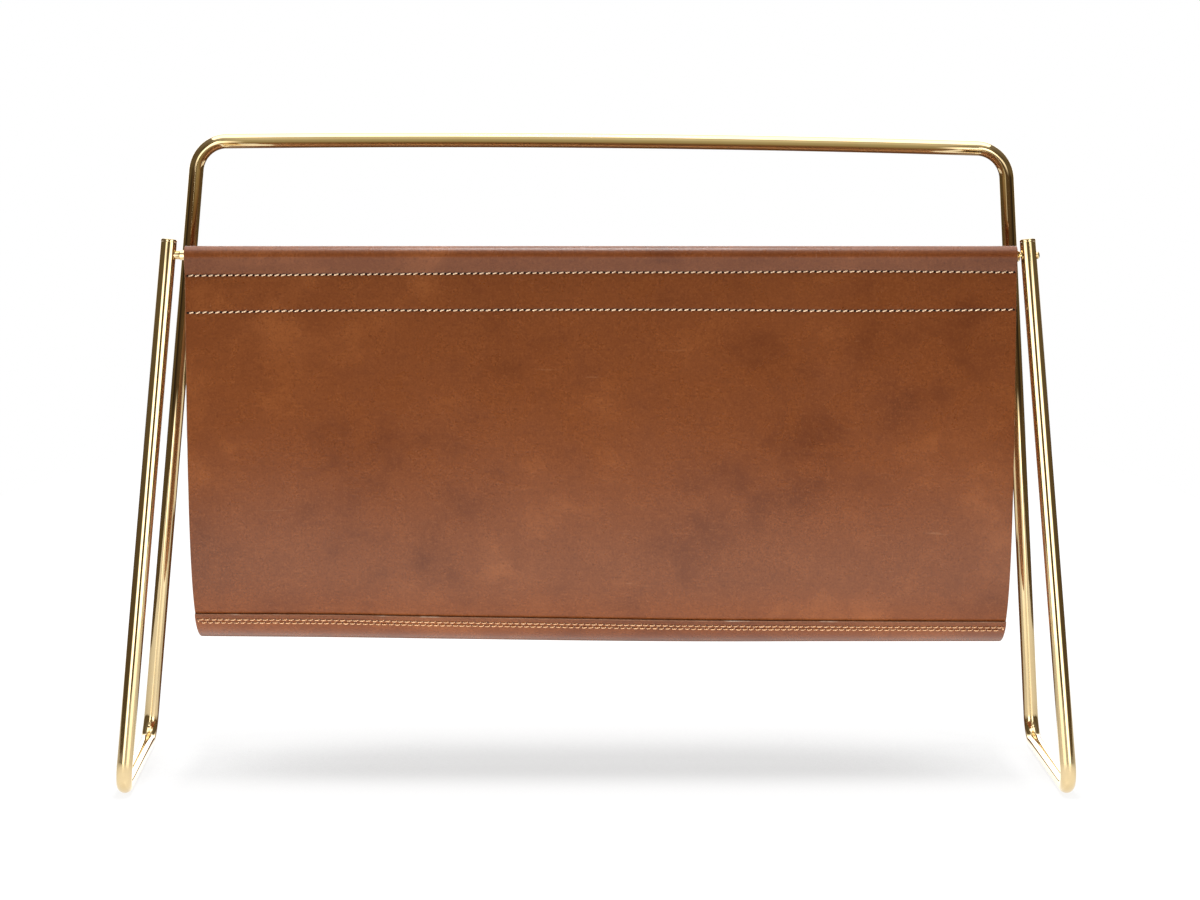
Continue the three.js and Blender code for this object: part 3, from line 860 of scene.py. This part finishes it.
def drift(*values):
    """A smooth line across the sling's width, as a function of x, through one value for each of WIDTHS."""
    values = np.array(values)
    slopes = np.gradient(values, WIDTHS)

    def at(x):
        x = np.clip(x, WIDTHS[0], WIDTHS[-1])
        index = np.clip(np.searchsorted(WIDTHS, x, side="right") - 1, 0, len(WIDTHS) - 2)
        span = WIDTHS[index + 1] - WIDTHS[index]
        t = (x - WIDTHS[index]) / span
        rise = 3 * t ** 2 - 2 * t ** 3
        bow = (t ** 3 - 2 * t ** 2 + t) * slopes[index] + (t ** 3 - t ** 2) * slopes[index + 1]
        return (1 - rise) * values[index] + rise * values[index + 1] + bow * span

    return at


# seam_drift is how much further up the turn the base strip's cut edge lies, sling_rise how much higher the
# bottom of the sling hangs.
upper_row_drift = drift(2.2, 1.5, 0.9, 0.2, 0.1, -0.4, 0.1)
lower_row_drift = drift(1.7, 0.3, 0.1, -0.2, -0.1, 0.5, -0.3)
seam_drift = drift(0.6, 0.9, 0.4, 0.3, -0.5, -1.2, -1.8)
sling_rise = drift(3.2, 2.5, 1.4, 0.2, -0.3, 0.0, 0.0)


def settle(points):
    """Moves drawn points to where the leather hangs: higher on the left, with shallow waves in the walls."""
    points = points.copy()
    x, y, z = points[..., 0], points[..., 1], points[..., 2]
    hang = smoothstep(ROD_HEIGHT - 30, ROD_HEIGHT - 110, z)
    turn = smoothstep(-45.0, 45.0, y)
    # Waves: heights in millimetres, lengths in millimetres for each radian
    front = (0.55 * np.sin(x / 47 + 0.8) * np.sin(z / 52 + 0.5) + 0.5 * np.sin(x / 83 - z / 120 + 2.2)
             + 0.22 * np.sin(x / 21 + z / 33))
    back = (0.6 * np.sin(x / 56 + 2.1) * np.sin(z / 47 + 1.7) + 0.45 * np.sin(x / 74 + z / 110 + 0.4)
            + 0.2 * np.sin(x / 24 - z / 30 + 1.0))
    points[..., 1] += hang * (front * (1 - turn) + back * turn)
    points[..., 2] += sling_rise(x) * smoothstep(300.0, 100.0, z)
    return points


# Leather panels


def edge_stops(low, high, inner, step):
    """Stations from low to high, through the inner places and close together where the edge is rounded."""
    rim = np.array([0.0, 0.04, 0.15, 0.31, EDGE_ROUND, 1.2])
    fixed = sorted(set(np.round(np.concatenate([low + rim, high - rim, inner]), 4)))
    stops = [fixed[0]]
    for place in fixed[1:]:
        gap = place - stops[-1]
        count = max(1, int(math.ceil(gap / step(0.5 * (place + stops[-1])) - 1e-6)))
        stops.extend(np.linspace(stops[-1], place, count + 1)[1:])
    return np.array(stops)


def cross_stops():
    holes = FIRST_HOLE + PITCH / 2 * np.arange(2 * STITCH_COUNT + 1)
    return edge_stops(SLING_LEFT, SLING_RIGHT, holes, lambda place: CROSS_STEP)


def rounding(distance):
    inside = np.clip(EDGE_ROUND - distance, 0, EDGE_ROUND)
    return EDGE_ROUND - np.sqrt(np.maximum(0.0, EDGE_ROUND ** 2 - inside ** 2))


def hem_stand_off(place, normal, away, x):
    """How far the leather stands off its drawing where it is pulled straight from rod to first stitches, and
    how much each point belongs to that part. away is the length past the start of the wall."""
    round_rod = WRAP + LEATHER / 2
    row = HEM_ROW_UPPER + np.clip(upper_row_drift(x), -0.5, 0.9)
    foot_out = LAYER + LEATHER / 2
    foot_down = DROP + row
    turn = np.arctan2(foot_down, foot_out) - np.arccos(round_rod / np.hypot(foot_out, foot_down))
    from_rod = place - ROD_CENTRE + normal * LEATHER / 2
    out, down = from_rod @ HEM_OUT, from_rod @ HEM_DOWN
    normal_out, normal_down = normal @ HEM_OUT, normal @ HEM_DOWN
    facing = np.maximum(0.3, normal_out * np.cos(turn) + normal_down * np.sin(turn))
    gap = (round_rod - out * np.cos(turn) - down * np.sin(turn)) / facing
    beyond = down * np.cos(turn) - out * np.sin(turn)
    first, last = HEM_PULLED
    inside = (away > first) & (away < last) & (beyond > 0)
    soft = 0.14 * smoothstep(0.0, 2.5, beyond) * smoothstep(last, last - 3.0, away)
    band = smoothstep(-0.3, 1.2, beyond) * smoothstep(row + 0.2, row - 1.0, away) * (away > first)
    return np.where(inside, 0.5 * (gap + np.sqrt(gap ** 2 + soft ** 2)), 0.0), band


def press_stitches(face, lengths, x, rows, dent_and_shade):
    """How deep the stitches press into one face, and the marks that its material reads: the count of
    stitches, the distance to the nearest row and how strongly the holes are dented and darkened with painted
    shade."""
    phase = (x - FIRST_HOLE) / PITCH
    inside = (phase > -0.3) & (phase < STITCH_COUNT + 0.3)
    dip = np.zeros_like(x)
    nearest = np.full_like(x, 9.0)
    beat = phase.copy()
    for at, _, offset, shown in rows:
        if face != shown:
            continue
        beside = np.abs(lengths - at)
        hole = np.abs(np.mod(phase - offset + 0.5, 1.0) - 0.5) * PITCH
        dip += inside * (0.07 * np.exp(-(beside / 0.8) ** 2)
                         + 0.22 * np.exp(-(beside / 0.6) ** 2) * np.exp(-(hole / 0.8) ** 2))
        closer = beside < nearest
        nearest = np.where(closer, beside, nearest)
        beat = np.where(closer, phase - offset, beat)
    within = dent_and_shade * ((phase > -0.35) & (phase < STITCH_COUNT + 0.35))
    return dip, np.stack([beat, nearest, within], -1)


def strip_faces(index, rounded_cell):
    """Faces and their materials for two grids of points, the outer and the inner, closed round the rim."""
    total = index.size
    corners = (index[:-1, :-1], index[1:, :-1], index[1:, 1:], index[:-1, 1:])
    outer = np.stack([corner.ravel() for corner in corners], 1)
    inner = outer[:, ::-1] + total
    rims = []
    for border in (index[0, ::-1], index[-1], index[:, 0], index[::-1, -1]):
        first, second = border[:-1], border[1:]
        rims.append(np.stack([second, first, first + total, second + total], 1))
    kinds = np.concatenate([np.where(rounded_cell, 2, 0), np.where(rounded_cell, 2, 1),
                            np.full(sum(map(len, rims)), 2)])
    return np.concatenate([outer, inner, *rims]), kinds


def add_attribute(obj, name, kind, field, values):
    layer = obj.data.attributes.new(name, kind, "POINT")
    layer.data.foreach_set(field, values.astype(np.float32).ravel())


def strip_mesh(name, line, stops, rows, shift, bevel=0.0, fold_at=None, hole_dent_and_shade=1.0):
    """A strip of leather as a closed mesh with rounded edges.
    rows: (length along the line, drift across the width, phase, face it shows on) for each row of stitches.
    shift(lengths, x) moves the stations. bevel thins the grain side at the two cut ends. fold_at is where the
    wall starts under the rod: the leather stands off there."""
    xs = cross_stops()
    lengths, x = np.meshgrid(stops, xs, indexing="ij")
    moved = lengths + shift(lengths, x)
    for at, stray, _, _ in rows:
        moved += stray(x) * np.exp(-((lengths - at) / ROW_REACH) ** 2)
    ends = np.minimum(lengths - stops[0], stops[-1] - lengths)
    sides = np.minimum(x - xs[0], xs[-1] - x)
    half = LEATHER / 2 - np.minimum(EDGE_ROUND, rounding(ends) + rounding(sides))
    place, normal = line.at(moved)
    stand_off, band = np.zeros_like(x), np.zeros_like(x)
    if fold_at is not None:
        stand_off, band = hem_stand_off(place, normal, moved - fold_at, x)
    grids = []
    marks = []
    for face, sign in (("grain", 1), ("flesh", -1)):
        dip, mark = press_stitches(face, lengths, x, rows, hole_dent_and_shade)
        thinned = bevel * (1 - smoothstep(0.0, 2.4, ends)) if face == "grain" else 0.0
        section = place + normal * (sign * (half - dip) - thinned + stand_off)[..., None]
        grids.append(settle(np.concatenate([x[..., None], section], -1)).reshape(-1, 3))
        marks.append(mark.reshape(-1, 3))
    rounded_cell = (half[:-1, :-1] < LEATHER / 2 - 0.12).ravel()
    faces, kinds = strip_faces(np.arange(x.size).reshape(x.shape), rounded_cell)
    flat = np.tile(np.stack([x, moved], -1).reshape(-1, 2) * MM, (2, 1))
    obj = build_mesh(name, np.concatenate(grids), faces.tolist(), [grain, flesh, edge], kinds, flat)
    add_attribute(obj, "stitch", "FLOAT_VECTOR", "vector", np.concatenate(marks))
    # The band below the roll, where the grain material paints shade and adds roughness.
    add_attribute(obj, "pulled_straight", "FLOAT", "value", np.tile(band.ravel(), 2))
    return obj


def flip_to_outside(obj):
    """Turns the faces outward if the closed mesh has them inward."""
    mesh = obj.data
    mesh.calc_loop_triangles()
    points = read(mesh.vertices, "co", 3)
    a, b, c = (points[corner] for corner in read(mesh.loop_triangles, "vertices", 3, np.int32).T)
    if (a * np.cross(b, c)).sum() < 0:
        mesh.flip_normals()
    return obj


def row_neighbours(places):
    near = np.array([-2.2, -1.1, -0.45, 0.0, 0.45, 1.1, 2.2])
    return np.concatenate([place + near for place in places])


def no_drift(x):
    return np.zeros_like(x)


def build_panel(name):
    """A wall of the sling with its hem, drawn as the front one."""
    line, start = panel_line()
    seam = start + wall.total - SEAM_ARC
    rows = [
        (start + HEM_ROW_UPPER, upper_row_drift, 0.0, "grain"),
        (start + HEM_ROW_LOWER, lower_row_drift, 0.0, "grain"),
        (HEM_FLAP - HEM_ROW_UPPER, lambda x: -upper_row_drift(x), 0.0, "grain"),
        (HEM_FLAP - HEM_ROW_LOWER, lambda x: -lower_row_drift(x) * 0.35, 0.0, "grain"),
        (seam + SEAM_ROW_NEAR, no_drift, 0.0, "flesh"),
        (seam + SEAM_ROW_FAR, no_drift, SEAM_PHASE, "flesh"),
    ]
    places = row_neighbours([row[0] for row in rows])
    clear = 1.3
    places = places[(places > clear) & (places < line.total - clear)]

    def step(length):
        """Finest round the rod, finer in the turn at the bottom than on the flat wall."""
        if HEM_FLAP - 1 < length < start + 1:
            return 0.7
        return 2.0 if length > start + wall.total - 70 else 4.0

    def shift(lengths, x):
        return -seam_drift(x) * smoothstep(seam - 25, seam - 3, lengths)

    return strip_mesh(name, line, edge_stops(0.0, line.total, places, step), rows, shift, fold_at=start)


def build_base(name):
    """The bottom strip, lapped outside both walls."""
    line = base_line()
    low, high = BASE_SPARE, line.total - BASE_SPARE
    rows = [
        (low + SEAM_ROW_NEAR, no_drift, 0.0, "grain"),
        (low + SEAM_ROW_FAR, no_drift, SEAM_PHASE, "grain"),
        (high - SEAM_ROW_NEAR, no_drift, 0.0, "grain"),
        (high - SEAM_ROW_FAR, no_drift, SEAM_PHASE, "grain"),
    ]
    stops = edge_stops(low, high, row_neighbours([row[0] for row in rows]), lambda length: BASE_STEP)

    def shift(lengths, x):
        front = smoothstep(low + 26, low + 8, lengths)
        back = smoothstep(high - 26, high - 8, lengths)
        return seam_drift(x) * (back - front)

    return strip_mesh(name, line, stops, rows, shift, bevel=BASE_BEVEL, hole_dent_and_shade=0.4)


# Stitches


def stitch_shape(rings, sides, crest):
    """Places along a stitch from 0 to 1, angles round it, and at each place its radius and height."""
    t = np.linspace(0, 1, rings)
    swell = np.sin(math.pi * (t * 0.94 + 0.03))
    return t, turn_angles(sides), THREAD_RADIUS * (0.62 + 0.38 * swell ** 0.6), crest * swell ** 0.55 - 0.35


def stitch_faces(rings, sides, turned_over, start=0):
    last = start + (rings - 1) * sides
    faces = [tuple(range(start, start + sides))[::-1], tuple(range(last, last + sides))]
    for low in range(start, last, sides):
        faces += ring_faces(low, low + sides, sides)
    return [face[::-1] for face in faces] if turned_over else faces


def on_wall(x, length, lift, out, back):
    """Points beside the wall: lift is the leather's face, out the height over it, and back means inward."""
    section, _ = wall.at(length, lift + (-out if back else out))
    return settle(np.concatenate([x[..., None], section], -1)).reshape(-1, 3)


def thread_row(length_of, lift, phase, rise, count, rings, sides, seed, back=False, inset=0.160):
    """Points, faces and map of one row of stitches. length_of(x) is the row's place down the wall."""
    local = np.random.default_rng(seed)
    start = FIRST_HOLE + (np.arange(count) + phase) * PITCH
    t, theta, gauge, height = stitch_shape(rings, sides, 0.65)
    near = inset + local.normal(0, 0.02, count)
    far = 1 - inset + local.normal(0, 0.02, count)
    slant = rise + local.normal(0, 0.13, count)
    girth = 1 + local.normal(0, 0.06, count)
    loft = local.normal(0, 0.04, count)
    along = start[:, None] + PITCH * (near[:, None] + (far - near)[:, None] * t)
    drop = -slant[:, None] * (t - 0.5)[None, :] + local.normal(0, 0.05, count)[:, None]
    wide = (girth[:, None] * gauge[None, :])[..., None]
    x = along[..., None] + np.zeros(sides)
    length = length_of(x) + drop[..., None] + wide * np.cos(theta)
    out = height[None, :, None] + loft[:, None, None] + 0.8 * wide * np.sin(theta)
    points = on_wall(x, length, lift, out, back)
    run = (along - start[:, None])[..., None]
    flat = np.stack(np.broadcast_arrays(run, theta * THREAD_RADIUS), -1).reshape(-1, 2) * MM
    faces = []
    for low in range(0, count * rings * sides, rings * sides):
        faces += stitch_faces(rings, sides, back, low)
    return points, faces, flat


def closing_stitch(x, seam_near, seam_far, lift, back=False):
    """The short stitch that joins the two seam rows at one end."""
    rings, sides = 7, 8
    t, theta, gauge, height = stitch_shape(rings, sides, 0.6)
    middle = x + 0.25 * np.sin(math.pi * t)
    length = (seam_near(middle) + (seam_far(middle) - seam_near(middle)) * (0.08 + 0.84 * t))[:, None]
    xs = middle[:, None] + gauge[:, None] * np.cos(theta)
    out = height[:, None] + 0.8 * gauge[:, None] * np.sin(theta)
    points = on_wall(xs, length + np.zeros(sides), lift, out, back)
    flat = np.stack(np.broadcast_arrays(length, theta * THREAD_RADIUS), -1).reshape(-1, 2) * MM
    return points, stitch_faces(rings, sides, not back), flat


def join_rows(name, rows, material, mirror):
    faces = []
    offset = 0
    for part, part_faces, _ in rows:
        faces += [[v + offset for v in face] for face in part_faces]
        offset += len(part)
    points = np.concatenate([row[0] for row in rows])
    if mirror:
        points = points * np.array([1.0, -1.0, 1.0])
        faces = [face[::-1] for face in faces]
    return build_mesh(name, points, faces, [material], uvs=np.concatenate([row[2] for row in rows]))


def upper_row(x):
    return HEM_ROW_UPPER + upper_row_drift(x)


def lower_row(x):
    return HEM_ROW_LOWER + lower_row_drift(x)


def near_row(x):
    return wall.total - SEAM_ARC - seam_drift(x) + SEAM_ROW_NEAR


def far_row(x):
    return near_row(x) + SEAM_ROW_FAR - SEAM_ROW_NEAR


def build_threads():
    made = {}
    outer = LEATHER / 2
    flap_face = -(LEATHER + SEAT_GAP) - LEATHER / 2
    base_face = outer + LEATHER + SEAT_GAP
    for end, mirror, seed in (("front", False, 100), ("back", True, 200)):
        for word, place, number in (("upper", upper_row, 1), ("lower", lower_row, 2)):
            rows = [
                thread_row(place, outer, 0.0, 0.74, STITCH_COUNT, 10, 10, seed + number),
                thread_row(place, flap_face, 0.0, 0.35, STITCH_COUNT, 8, 8, seed + number + 10, back=True),
            ]
            piece = join_rows(f"stitches_{end}_hem_{word}", rows, hem_thread, mirror)
            made[(end, word)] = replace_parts(piece, f"{end}_hem_thread_{word}")
        rows = []
        for place, phase, count, number in ((near_row, 0.0, STITCH_COUNT, 3),
                                            (far_row, SEAM_PHASE, STITCH_COUNT - 1, 4)):
            rows.append(thread_row(place, base_face, phase, 0.5, count, 10, 10, seed + number, inset=0.115))
            rows.append(thread_row(place, -outer, phase, 0.3, count, 8, 8, seed + number + 10, back=True))
        for x in (FIRST_HOLE + 0.2, FIRST_HOLE + STITCH_COUNT * PITCH - 0.2):
            rows.append(closing_stitch(x, near_row, far_row, base_face))
            rows.append(closing_stitch(x, near_row, far_row, -outer, back=True))
        piece = join_rows(f"stitches_{end}_seam", rows, seam_thread, mirror)
        made[(end, "seam")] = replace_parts(piece, f"{end}_seam_thread")
    return made


def mirror_object(obj):
    """Turns a mesh to the other side of Y = 0, with its faces kept outward."""
    mesh = obj.data
    points = read(mesh.vertices, "co", 3) * np.array([1.0, -1.0, 1.0])
    mesh.vertices.foreach_set("co", points.ravel())
    mesh.flip_normals()
    mesh.update()
    return obj


# The studio


def sheet(name, corners, material):
    """A flat four-cornered piece of the studio."""
    mesh = bpy.data.meshes.new(name)
    mesh.from_pydata(corners, [], [(0, 1, 2, 3)])
    mesh.materials.append(material)
    obj = link(bpy.data.objects.new(name, mesh))
    return obj


def card(name, corners, material):
    """A sheet that only reflections show. Its map runs from 0 to 1 both ways."""
    obj = sheet(name, corners, material)
    layer = obj.data.uv_layers.new(name="flat")
    for loop, uv in zip(layer.data, ((0, 0), (1, 0), (1, 1), (0, 1))):
        loop.uv = uv
    obj.visible_camera = False
    obj.visible_shadow = False
    obj.visible_diffuse = False
    return obj


def upright(near, far, low, high):
    """Corners of an upright card between two (x, y) places."""
    return [(*near, low), (*far, low), (*far, high), (*near, high)]


def glow_card(name, corners, across_fades, up_fades, tint, level, lit=None):
    """A soft light for reflections. Each fade runs from black to full between two places of the card's map.
    lit is the collection that the card lights, or None for all."""
    material, nodes = new_material(name)
    u, v, _ = nodes.parts(nodes.flat())
    fades = [nodes.fade(u, *ends) for ends in across_fades] + [nodes.fade(v, *ends) for ends in up_fades]
    nodes.surface(nodes.glow(tint, nodes.product(*fades, level)))
    obj = card(name, corners, material)
    if lit is not None:
        obj.light_linking.receiver_collection = lit


def flag(name, corners, paint):
    """A dim card that keeps the strip lights off the brass behind it. Only its side toward the back works."""
    material, nodes = new_material(name)
    u, v, _ = nodes.parts(nodes.flat())
    shade, cover = paint(nodes, u, v)
    away = nodes.add("ShaderNodeNewGeometry").outputs["Backfacing"]
    shown = nodes.product(nodes.math("SUBTRACT", 1.0, away), cover)
    nodes.surface(nodes.blend(shown, nodes.add("ShaderNodeBsdfTransparent"), nodes.glow(shade)))
    card(name, corners, material)


def handle_paint(nodes, along, up):
    shade = nodes.ramp(up, [
        (0.05, (0.17, 0.09, 0.036)),
        (0.27, (0.28, 0.22, 0.12)),
        (0.42, (0.37, 0.34, 0.22)),
        (0.55, (0.40, 0.37, 0.25)),
        (0.69, (0.54, 0.51, 0.38)),
        (0.85, (0.70, 0.66, 0.52)),
    ], "LINEAR")
    aside = nodes.math("ABSOLUTE", nodes.math("SUBTRACT", along, 0.5))
    return shade, nodes.fade(aside, 0.50, 0.44)


def left_leg_paint(nodes, along, up):
    tone = nodes.mix(nodes.fade(along, 0.15, 0.45), (0.085, 0.055, 0.028), (0.026, 0.019, 0.012))
    return tone, nodes.product(nodes.fade(up, 0.0, 0.20), nodes.fade(up, 1.0, 0.90))


def right_leg_paint(nodes, along, up):
    return left_leg_paint(nodes, nodes.math("SUBTRACT", 1.0, along), up)


def build_flags():
    half, reach = 0.262, 0.245
    flag("handle_flag", upright((half, 0.0), (-half, 0.0), 0.335, 0.455), handle_paint)
    for x, name, paint in ((-0.255, "left", left_leg_paint), (0.50, "right", right_leg_paint)):
        flag(f"leg_flag_{name}", upright((x, 0.0), (x - reach, 0.0), 0.19, 0.395), paint)


def build_lights(lit):
    """Tall strips beside the camera, small cards for the bends of the handle, and a wide ceiling that whitens
    the tops of the handle and of the hems. All but the ceiling light only the brass and the table."""
    for side, name in ((-1, "left"), (1, "right")):
        strip = upright((side * 0.455 + 0.035, -0.25), (side * 0.29 + 0.035, -1.32), -0.35, 0.50)
        glow_card(f"strip_{name}", strip, [(0.0, 0.18), (1.0, 0.72)], [(1.0, 0.80)],
                  (1.0, 0.985, 0.96), 2.7, lit)
        corner = upright((side * 0.335, -0.50), (side * 0.43, -0.50), 0.385, 0.52)
        glow_card(f"corner_{name}", corner, [(0.0, 0.30), (1.0, 0.70)], [(0.0, 0.25), (1.0, 0.75)],
                  (1.0, 0.985, 0.95), 4.0, lit)
    half, near, far, height = 0.95, -1.10, 0.70, 1.55
    ceiling = [(-half, near, height), (half, near, height), (half, far, height), (-half, far, height)]
    glow_card("ceiling", ceiling, [], [(0.0, 0.28)], (1.0, 0.99, 0.97), 2.3)


def key_light():
    """The small overhead light over the tops of the hems. Its own shadow under the sling is faint, and the
    floor's material paints most of that shadow.
    """
    data = bpy.data.lights.new("key", "AREA")
    data.shape = "RECTANGLE"
    data.size = 0.24
    data.size_y = 0.80
    data.energy = 26.0
    light = link(bpy.data.objects.new("key", data))
    light.location = (0.0, -0.17, 1.7)
    light.rotation_euler = (math.radians(-5.0), 0, 0)


def build_floor():
    """The white table. The camera sees it brighter than the lights make it, as the photograph does."""
    material, nodes = new_material("floor_white")
    path = nodes.add("ShaderNodeLightPath").outputs
    x, y, _ = nodes.parts(nodes.place())
    aside = nodes.math("ABSOLUTE", x)
    wide = nodes.fade(aside, 0.34, 0.70)
    deep = nodes.fade(nodes.math("ABSOLUTE", nodes.math("SUBTRACT", y, 0.02)), 0.14, 0.55)
    level = nodes.math("MULTIPLY_ADD", nodes.math("MAXIMUM", wide, deep), 0.14, 0.88)
    # Painted shadow: an occlusion node darkens the table under the sling, both where the camera sees it and in
    # reflections.
    open_sky = nodes.add("ShaderNodeAmbientOcclusion", {"Distance": 0.2}, samples=16).outputs["AO"]
    covered = nodes.fade(nodes.math("SUBTRACT", 1.0, open_sky), 0.18, 0.47)
    shadow = nodes.product(covered, nodes.fade(aside, 0.30, 0.25), nodes.fade(y, -0.080, 0.010))
    level = nodes.product(level, nodes.math("MULTIPLY_ADD", shadow, -0.31, 1.0))
    matt = nodes.add("ShaderNodeBsdfDiffuse", {"Color": (0.12, 0.12, 0.12)})
    shown = nodes.add("ShaderNodeAddShader", {0: matt, 1: nodes.glow((1.0, 1.0, 1.0), level)})
    polish = nodes.add("ShaderNodeBsdfGlossy", {"Roughness": 0.12})
    mirrored = nodes.blend(nodes.add("ShaderNodeFresnel", {"IOR": 1.4}), shown, polish)
    behind = nodes.product(nodes.fade(y, 0.08, 0.17), nodes.fade(aside, 0.37, 0.28))
    far_off = nodes.math("MAXIMUM", behind, nodes.fade(y, 0.40, 0.85))
    reflected = nodes.blend(far_off, mirrored, nodes.glow((0.12, 0.055, 0.022)))
    bounce = nodes.ramp(nodes.math("ABSOLUTE", y), [
        (0.00, (0.30, 0.29, 0.28)),
        (0.05, (0.56, 0.55, 0.54)),
        (0.12, (2.85, 2.76, 2.60)),
        (0.22, (4.60, 4.44, 4.10)),
        (0.35, (4.35, 4.18, 3.80)),
        (0.50, (1.75, 1.66, 1.50)),
        (0.70, (0.55, 0.52, 0.48)),
        (0.92, (0.25, 0.24, 0.22)),
    ], "LINEAR")
    unseen = nodes.blend(path["Is Glossy Ray"], nodes.glow(bounce), reflected)
    seen = nodes.math("MAXIMUM", path["Is Camera Ray"], path["Is Transmission Ray"])
    nodes.surface(nodes.blend(seen, unseen, shown))
    half, front, back, z = 0.88, -0.92, 3.5, -0.0003
    return sheet("floor", [(-half, front, z), (half, front, z), (half, back, z), (-half, back, z)], material)


def build_world():
    """White to the camera. Reflections see a dim room in front, a bright ceiling and a white backdrop."""
    world = bpy.data.worlds.new("studio")
    bpy.context.scene.world = world
    world.use_nodes = True
    nodes = Nodes(world.node_tree)
    x, y, z = nodes.parts(nodes.add("ShaderNodeTexCoord").outputs["Generated"])
    height = nodes.range(z, -1.0, 1.0)
    room = nodes.ramp(height, [
        (0.30, (0.085, 0.060, 0.030)),
        (0.50, (0.098, 0.072, 0.038)),
        (0.58, (0.135, 0.108, 0.062)),
        (0.70, (0.30, 0.27, 0.20)),
        (0.86, (0.75, 0.73, 0.68)),
        (0.95, (1.20, 1.20, 1.20)),
    ], "LINEAR")
    aside = nodes.product(nodes.fade(nodes.math("ABSOLUTE", x), 0.26, 0.50), nodes.fade(z, 0.10, 0.35), 0.85)
    room = nodes.mix(aside, room, (0.085, 0.060, 0.030))
    behind = nodes.product(nodes.fade(y, 0.72, 0.94), nodes.fade(z, -0.02, 0.06))
    glossy = nodes.mix(behind, room, (2.5, 2.5, 2.5))
    path = nodes.add("ShaderNodeLightPath").outputs
    fill = nodes.ramp(height, [(0.45, 0.36), (0.60, 0.43), (0.90, 0.80)], "LINEAR")
    tone = nodes.mix(path["Is Glossy Ray"], fill, glossy)
    tone = nodes.mix(path["Is Camera Ray"], tone, (1.0, 1.0, 1.0))
    ground = nodes.add("ShaderNodeBackground", {"Color": tone, "Strength": 1.0})
    nodes.add("ShaderNodeOutputWorld", {"Surface": ground})


def build_studio(brass_objects):
    build_world()
    lit = bpy.data.collections.new("strip_lit")
    for obj in [*brass_objects, build_floor()]:
        lit.objects.link(obj)
    build_lights(lit)
    build_flags()
    key_light()


def build_camera():
    data = bpy.data.cameras.new("camera")
    data.sensor_width = 36.0
    data.sensor_fit = "HORIZONTAL"
    data.lens = 73.5
    data.clip_start = 0.05
    data.clip_end = 50.0
    camera = link(bpy.data.objects.new("camera", data))
    camera.location = (0.00625, -1.545, 0.3051)
    camera.rotation_euler = (math.radians(90 - 3.737), 0, 0)
    bpy.context.scene.camera = camera


# Everything in place

build_camera()
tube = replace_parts(build_tube(), "frame_tube")
brass_pieces = [tube, *build_plugs(), *build_rods()]
front_panel = flip_to_outside(build_panel("leather_front_panel"))
back_panel = mirror_object(flip_to_outside(build_panel("leather_back_panel")))
base_panel = flip_to_outside(build_base("leather_base_panel"))
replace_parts(front_panel, "front_panel")
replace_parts(back_panel, "back_panel")
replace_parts(base_panel, "base_panel")
threads = build_threads()

for piece in [*brass_pieces, front_panel, back_panel, base_panel, *threads.values()]:
    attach(piece, BODY)

panel_length = panel_line()[0].total * MM
base_length = (base_line().total - 2 * BASE_SPARE) * MM

build_studio(brass_pieces)
bpy.context.scene.view_settings.view_transform = "Standard"
